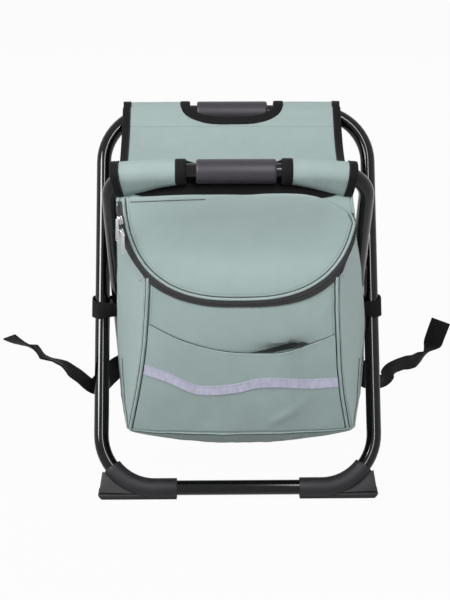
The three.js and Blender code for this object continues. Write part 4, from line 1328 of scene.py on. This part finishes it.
def build_pocket(skin):
    def spot(u, v):
        share = 2 * u - 1
        return pocket_place(skin, share, lerp(POCKET_BOTTOM, pocket_mouth(share), v))

    def mouth_line(above, lift):
        shares = along(80, lambda share: lerp(-0.99, 0.99, share))
        return [pocket_place(skin, share, pocket_mouth(share) + above, lift) for share in shares]

    # Places on the bag for a dark sheet of painted shade where the pocket's mouth gapes.
    def throat_shade_spot(u, v):
        share = lerp(-0.05, 0.74, u)
        open_up = 5.0 * rising(-0.05, 0.5, share) * (1 - rising(0.63, 0.74, share))
        z = pocket_mouth(share) + lerp(-3, open_up, v)
        return skin.front(lerp(*cord_places(z), (share + 1) / 2), z, 0.4)

    pocket = sheet("pocket_cloth", 60, 36, spot, 0.23, 0.12)
    subdivide_smooth(pocket)
    thicken(pocket, sizes().cloth_thickness)
    dress(smooth(pocket, 50), "cloth", "inner_frame", "front_pocket")
    dress(piping("pocket_hem", mouth_line(0, 0), 0.001), "cloth_cord", "inner_frame")
    # A thin dark line just above the hem is painted shade in the gap behind the pocket's mouth.
    dress(piping("pocket_mouth_painted_shade", mouth_line(1.3, -0.5), 0.0006), "painted_shade_line", "inner_frame")
    # The dark sheet is painted shade inside the pocket's mouth.
    throat_shade = sheet("pocket_throat_painted_shade", 40, 6, throat_shade_spot, 0.08, 0.008)
    dress(smooth(throat_shade, 50), "painted_shade_line", "inner_frame")
    rows = smooth_path(STRIPE_LINE, 9)
    width = sizes().stripe_width * 1000

    def stripe_spot(u, v):
        row = rows[round(v * (len(rows) - 1))]
        return pocket_place(skin, row.x, row.z + (u - 0.5) * width, 1.3)
    stripe = sheet("pocket_ribbon", 6, len(rows) - 1, stripe_spot, width / 1000, 0.23)
    subdivide_smooth(stripe)
    thicken(stripe, STRIPE_THICKNESS)
    dress(smooth(stripe, 50), "ribbon", "inner_frame", "pocket_stripe")
    for side, word in ((-1, "lower"), (1, "upper")):
        line = [pocket_place(skin, row.x, row.z + side * (width / 2 - 1.2), 1.75) for row in rows]
        dress(stitches(f"stripe_stitches_{word}", line, width=0.0004), "ribbon_thread", "inner_frame")


# Webbing, straps and buckles


def frame_loops():
    """Webbing round both tubes at each pivot. Each side of a loop leans with the tube that it lies on."""
    width = sizes().webbing_width * 0.84
    inner, outer = 132.6, 177.9
    deep, corner = 12.6, 9
    ring = []
    for cx, cy, start in ((outer - corner, -deep + corner, -90), (outer - corner, deep - corner, 0),
                          (inner + corner, deep - corner, 90), (inner + corner, -deep + corner, 180)):
        for i in range(7):
            turn = math.radians(start + 15 * i)
            ring.append((cx + corner * math.cos(turn), cy + corner * math.sin(turn)))
    ring.append(ring[0])
    last = len(ring) - 1
    for side, word in SIDES:
        def spot(u, v):
            x, y = ring[round(v * last)]
            lean = lerp(-LEAN, LEAN, rising(inner + 10, outer - 10, x))
            along_tube = (u - 0.5) * width * 1000
            return place(side * x, y + along_tube * math.sin(lean), along_tube * math.cos(lean) - 1.5)
        loop = tidy_faces(sheet(f"{word}_loop_webbing", 6, last, spot, width, 0.12))
        thicken(loop, WEBBING_THICKNESS)
        dress(smooth(loop, 50), "webbing", None, f"{word}_frame_loop")
        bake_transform(loop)


def strap_middle(share):
    """The middle of a shoulder strap at a share of its way down the bag's back."""
    z = lerp(STRAP_TOP, STRAP_BOTTOM, share)
    slope = math.atan2(bag_back(0) - bag_back(STRAP_TOP), STRAP_TOP)
    bow = 19 * math.sin(math.pi / 2 * min(1, 1.25 * share)) ** 2
    return Vector((0, bag_back(z) + 3.8 / math.cos(slope) + bow, z))


def shoulder_strap(side, word):
    """A padded strap down the bag's back, with its stitches, its anchor webbing and its buckle."""
    def spot(u, v, w):
        share = (1 - w) / 2
        middle = strap_middle(share)
        ahead = (strap_middle(share + 0.02) - strap_middle(share - 0.02)).normalized()
        half = STRAP_HALF * (1 - 0.1 * (2 * share - 1) ** 6)
        lift = v * STRAP_SWELL * (1 - 0.55 * abs(u) ** 3)
        return place(side * STRAP_OFFSET + u * half, middle.y - lift * ahead.z, middle.z + lift * ahead.y)

    strap = block(f"{word}_padded_strap", 17, spot)
    subdivide_smooth(strap)
    smooth(side_map(tidy_faces(strap)), 60)
    dress(strap, "webbing", "inner_frame", f"{word}_shoulder_strap")
    for edge in (-1, 1):
        middles = along(48, lambda share: strap_middle(lerp(0.04, 0.96, share)))
        line = [place(side * STRAP_OFFSET + edge * 19, m.y + 2.9, m.z + 1.2) for m in middles]
        name = f"{word}_strap_stitches_{'inner' if edge == -side else 'outer'}"
        dress(stitches(name, line), "dark_thread", "inner_frame")
    y = strap_middle(1).y
    way = [(STRAP_OFFSET, y + 1, -62), (STRAP_OFFSET + 4, y + 1, -73), (STRAP_OFFSET + 14, y - 3, -86),
           (96, -17.5, -104), (114, -19.6, -113)]
    points = [place(side * p.x, p.y, p.z) for p in smooth_path(way, 8)]
    anchor = webbing_band(f"{word}_anchor_band", points, lambda share: Vector((0, -1, 0)))
    dress(anchor, "webbing", "inner_frame", f"{word}_anchor_webbing")
    strap_buckle(word, side, y)


def strap_buckle(word, side, y):
    """A ladder buckle: a rounded plate with two slots."""
    obj = cuboid(f"{word}_ladder_buckle", BUCKLE_SIZE)
    for z in (-BUCKLE_SLOT_Z, BUCKLE_SLOT_Z):
        slot = cuboid("slot", BUCKLE_SLOT, (0, 0, z))
        cut_with(obj, slot, "DIFFERENCE")
        remove(slot)
    bevel(obj, 0.0009, 3)
    obj.location = place(side * STRAP_OFFSET, y, BUCKLE_Z)
    dress(smooth(settle(obj), 40), "nylon", "inner_frame", f"{word}_strap_buckle")


def strap_tail(word, side, free, twist):
    """A loose end of webbing: it leaves its buckle, passes behind the outer tube and sticks out, twisting.
    The free points are from the tube to the tip, and twist gives the turn of its face in degrees along it."""
    y = strap_middle(1).y + 3.7
    start = Vector((STRAP_OFFSET, y, BUCKLE_Z))
    clear = Vector((STRAP_OFFSET + 25, y, BUCKLE_Z))
    behind = Vector((146, -12, -76))
    way = [start, clear, clear.lerp(behind, 0.45), behind, *free]
    points = [place(side * p.x, p.y, p.z) for p in smooth_path(way, 8)]

    def facing(share):
        turn = math.radians(reading(twist, share))
        return Vector((0, -math.cos(turn), math.sin(turn)))
    tail = webbing_band(f"{word}_tail_webbing", points, facing)
    dress(tail, "webbing", None, f"{word}_strap_tail")
    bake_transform(tail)


# Stage


def seen_rays(tree):
    """1 for rays from the camera, from a mirror-like surface or through a clear one, and 0 for the rest."""
    rays = tree.nodes.new("ShaderNodeLightPath").outputs
    sockets = {0: rays["Is Camera Ray"], 1: rays["Is Glossy Ray"]}
    first = add_node(tree, "Math", 0, sockets, operation="MAXIMUM")
    return add_node(tree, "Math", 0, {0: first, 1: rays["Is Transmission Ray"]}, operation="MAXIMUM")


def backdrop_finish():
    """A white floor that keeps a trace of the object's shadow and looks white to the camera."""
    material = bpy.data.materials.new("pale_floor")
    material.use_nodes = True
    tree = material.node_tree
    shader = tree.nodes["Principled BSDF"]
    shader.inputs["Base Color"].default_value = (0.4, 0.4, 0.4, 1)
    shader.inputs["Roughness"].default_value = 0.9
    glow = add_node(tree, "Emission", 0, {"Strength": 1.0})
    share = add_node(tree, "Math", 0, {0: seen_rays(tree), 1: 0.96}, operation="MULTIPLY")
    mix = add_node(tree, "MixShader", 0, {"Fac": share, 1: shader.outputs[0], 2: glow})
    tree.links.new(mix, tree.nodes["Material Output"].inputs["Surface"])
    return material


def area_light(name, spot, width, height, power, diffuse=True, glossy=True):
    """A rectangular lamp turned to the object's middle."""
    lamp = bpy.data.lights.new(name, "AREA")
    lamp.shape = "RECTANGLE"
    lamp.size = width
    lamp.size_y = height
    lamp.energy = power
    obj = bpy.data.objects.new(name, lamp)
    obj.location = spot
    obj.rotation_euler = (Vector((0, 0, 0.25)) - Vector(spot)).to_track_quat("-Z", "Y").to_euler()
    obj.visible_diffuse = diffuse
    obj.visible_glossy = glossy
    bpy.context.scene.collection.objects.link(obj)


def build_stage():
    scene = bpy.context.scene
    scene.view_settings.view_transform = "Standard"
    floor = added(bpy.ops.mesh.primitive_plane_add, "floor", size=14)
    floor.data.materials.append(backdrop_finish())
    world = bpy.data.worlds.new("studio")
    world.use_nodes = True
    scene.world = world
    tree = world.node_tree
    background = tree.nodes["Background"].inputs
    background["Color"].default_value = (1, 1, 1, 1)
    level = add_node(tree, "MapRange", "Result", {"Value": seen_rays(tree), "To Min": 0.2, "To Max": 1.0})
    tree.links.new(level, background["Strength"])
    area_light("left_box", (-1.38, -0.92, 1.25), 0.65, 0.9, 20)
    area_light("left_gleam", (-1.36, -0.9, 1.23), 0.62, 0.9, 42, diffuse=False)
    area_light("front_box", (0.25, -1.12, 1.3), 0.25, 0.9, 7.2)
    area_light("front_gleam", (0.25, -1.1, 1.28), 0.14, 0.9, 7, diffuse=False)
    area_light("right_box", (1.71, -0.66, 1.06), 1.8, 1.8, 14, glossy=False)
    area_light("left_fill", (-1.9, -0.3, 0.8), 1.8, 1.8, 6, glossy=False)
    area_light("back_box", (0.3, 2.0, 1.1), 1.8, 1.8, 14, glossy=False)
    lens = bpy.data.cameras.new("view")
    lens.sensor_fit = "VERTICAL"
    lens.sensor_height = 36
    lens.lens = 88.8
    lens.shift_x = -11.9 / 600
    lens.shift_y = 4.6 / 600
    camera = bpy.data.objects.new("view", lens)
    camera.location = place(-22, -1703.2, 675.7)
    camera.rotation_euler = (PIVOT - camera.location).to_track_quat("-Z", "Y").to_euler()
    scene.collection.objects.link(camera)
    scene.camera = camera


# Operators


def coat_solid(name, kind):
    """Gives a solid that stays as it is its finish."""
    obj = frame["nodes"][name]
    for slot in obj.material_slots:
        slot.material = finish(kind)
    if not obj.material_slots:
        obj.data.materials.append(finish(kind))


def build_frame():
    outer = (OUTER_HALF, OUTER_BEND, -LEAN, "outer_frame")
    inner = (INNER_HALF, INNER_BEND, LEAN, "inner_frame")
    frame_tube("outer_frame_tube_round", *outer, "outer_frame_tube")
    frame_tube("inner_frame_tube_round", *inner, "inner_frame_tube")
    for name in ("outer_tube_spigot", "inner_tube_spigot", "left_pivot_rivet", "right_pivot_rivet"):
        coat_solid(name, "steel")
    for name in ("left_pivot_spacer", "right_pivot_spacer"):
        coat_solid(name, "nylon")
    for side, word in SIDES:
        foot(f"front_{word}_corner_foot", side, *outer, f"front_{word}_foot")
        foot(f"rear_{word}_corner_foot", side, *inner, f"rear_{word}_foot")


def build_grips():
    grip("rear_foam_grip", -LEAN, "outer_frame", "rear_grip", REAR_GRIP_SHIFT)
    grip("front_foam_grip", LEAN, "inner_frame", "front_grip", FRONT_GRIP_SHIFT)


def build_straps():
    frame_loops()
    for side, word in SIDES:
        shoulder_strap(side, word)
    strap_tail("left", -1, LEFT_TAIL, LEFT_TWIST)
    strap_tail("right", 1, RIGHT_TAIL, RIGHT_TWIST)


class STOOL_OT_stage(bpy.types.Operator):
    """Set the floor, the lights and the camera"""
    bl_idname = "stool.stage"
    bl_label = "Stage"

    def execute(self, context):
        build_stage()
        return {"FINISHED"}


class STOOL_OT_frame(bpy.types.Operator):
    """Bend the two frame tubes, mould the feet and finish the rivets and spacers"""
    bl_idname = "stool.frame"
    bl_label = "Frame"

    def execute(self, context):
        build_frame()
        return {"FINISHED"}


class STOOL_OT_grips(bpy.types.Operator):
    """Turn the two foam grips"""
    bl_idname = "stool.grips"
    bl_label = "Grips"

    def execute(self, context):
        build_grips()
        return {"FINISHED"}


class STOOL_OT_seat(bpy.types.Operator):
    """Sew the seat sling with its sleeves and bindings"""
    bl_idname = "stool.seat"
    bl_label = "Seat"

    def execute(self, context):
        build_seat()
        return {"FINISHED"}


class STOOL_OT_bag(bpy.types.Operator):
    """Sew the cooler bag with its lid, lining, zip, pocket and seams"""
    bl_idname = "stool.bag"
    bl_label = "Cooler bag"

    def execute(self, context):
        build_bag()
        return {"FINISHED"}


class STOOL_OT_straps(bpy.types.Operator):
    """Make the frame loops, shoulder straps, buckles and loose strap ends"""
    bl_idname = "stool.straps"
    bl_label = "Straps"

    def execute(self, context):
        build_straps()
        return {"FINISHED"}


class STOOL_PT_panel(bpy.types.Panel):
    """Sidebar panel of the stool's settings and steps"""
    bl_idname = "STOOL_PT_panel"
    bl_label = "Folding cooler stool"
    bl_space_type = "VIEW_3D"
    bl_region_type = "UI"
    bl_category = "Stool"

    def draw(self, context):
        for group in (context.scene.stool_sizes, context.scene.stool_colours):
            box = self.layout.box()
            for key in group.__annotations__:
                box.prop(group, key)
        for step in STEPS:
            self.layout.operator(step.bl_idname)


STEPS = (STOOL_OT_stage, STOOL_OT_frame, STOOL_OT_grips, STOOL_OT_seat, STOOL_OT_bag, STOOL_OT_straps)
CLASSES = (StoolSizes, StoolColours, *STEPS, STOOL_PT_panel)


def register():
    for cls in CLASSES:
        bpy.utils.register_class(cls)
    bpy.types.Scene.stool_sizes = PointerProperty(type=StoolSizes)
    bpy.types.Scene.stool_colours = PointerProperty(type=StoolColours)


def unregister():
    del bpy.types.Scene.stool_colours
    del bpy.types.Scene.stool_sizes
    for cls in reversed(CLASSES):
        bpy.utils.unregister_class(cls)


def main():
    register()
    bpy.ops.stool.stage()
    bpy.ops.stool.frame()
    bpy.ops.stool.grips()
    bpy.ops.stool.seat()
    bpy.ops.stool.bag()
    bpy.ops.stool.straps()


if __name__ == "__main__":
    main()
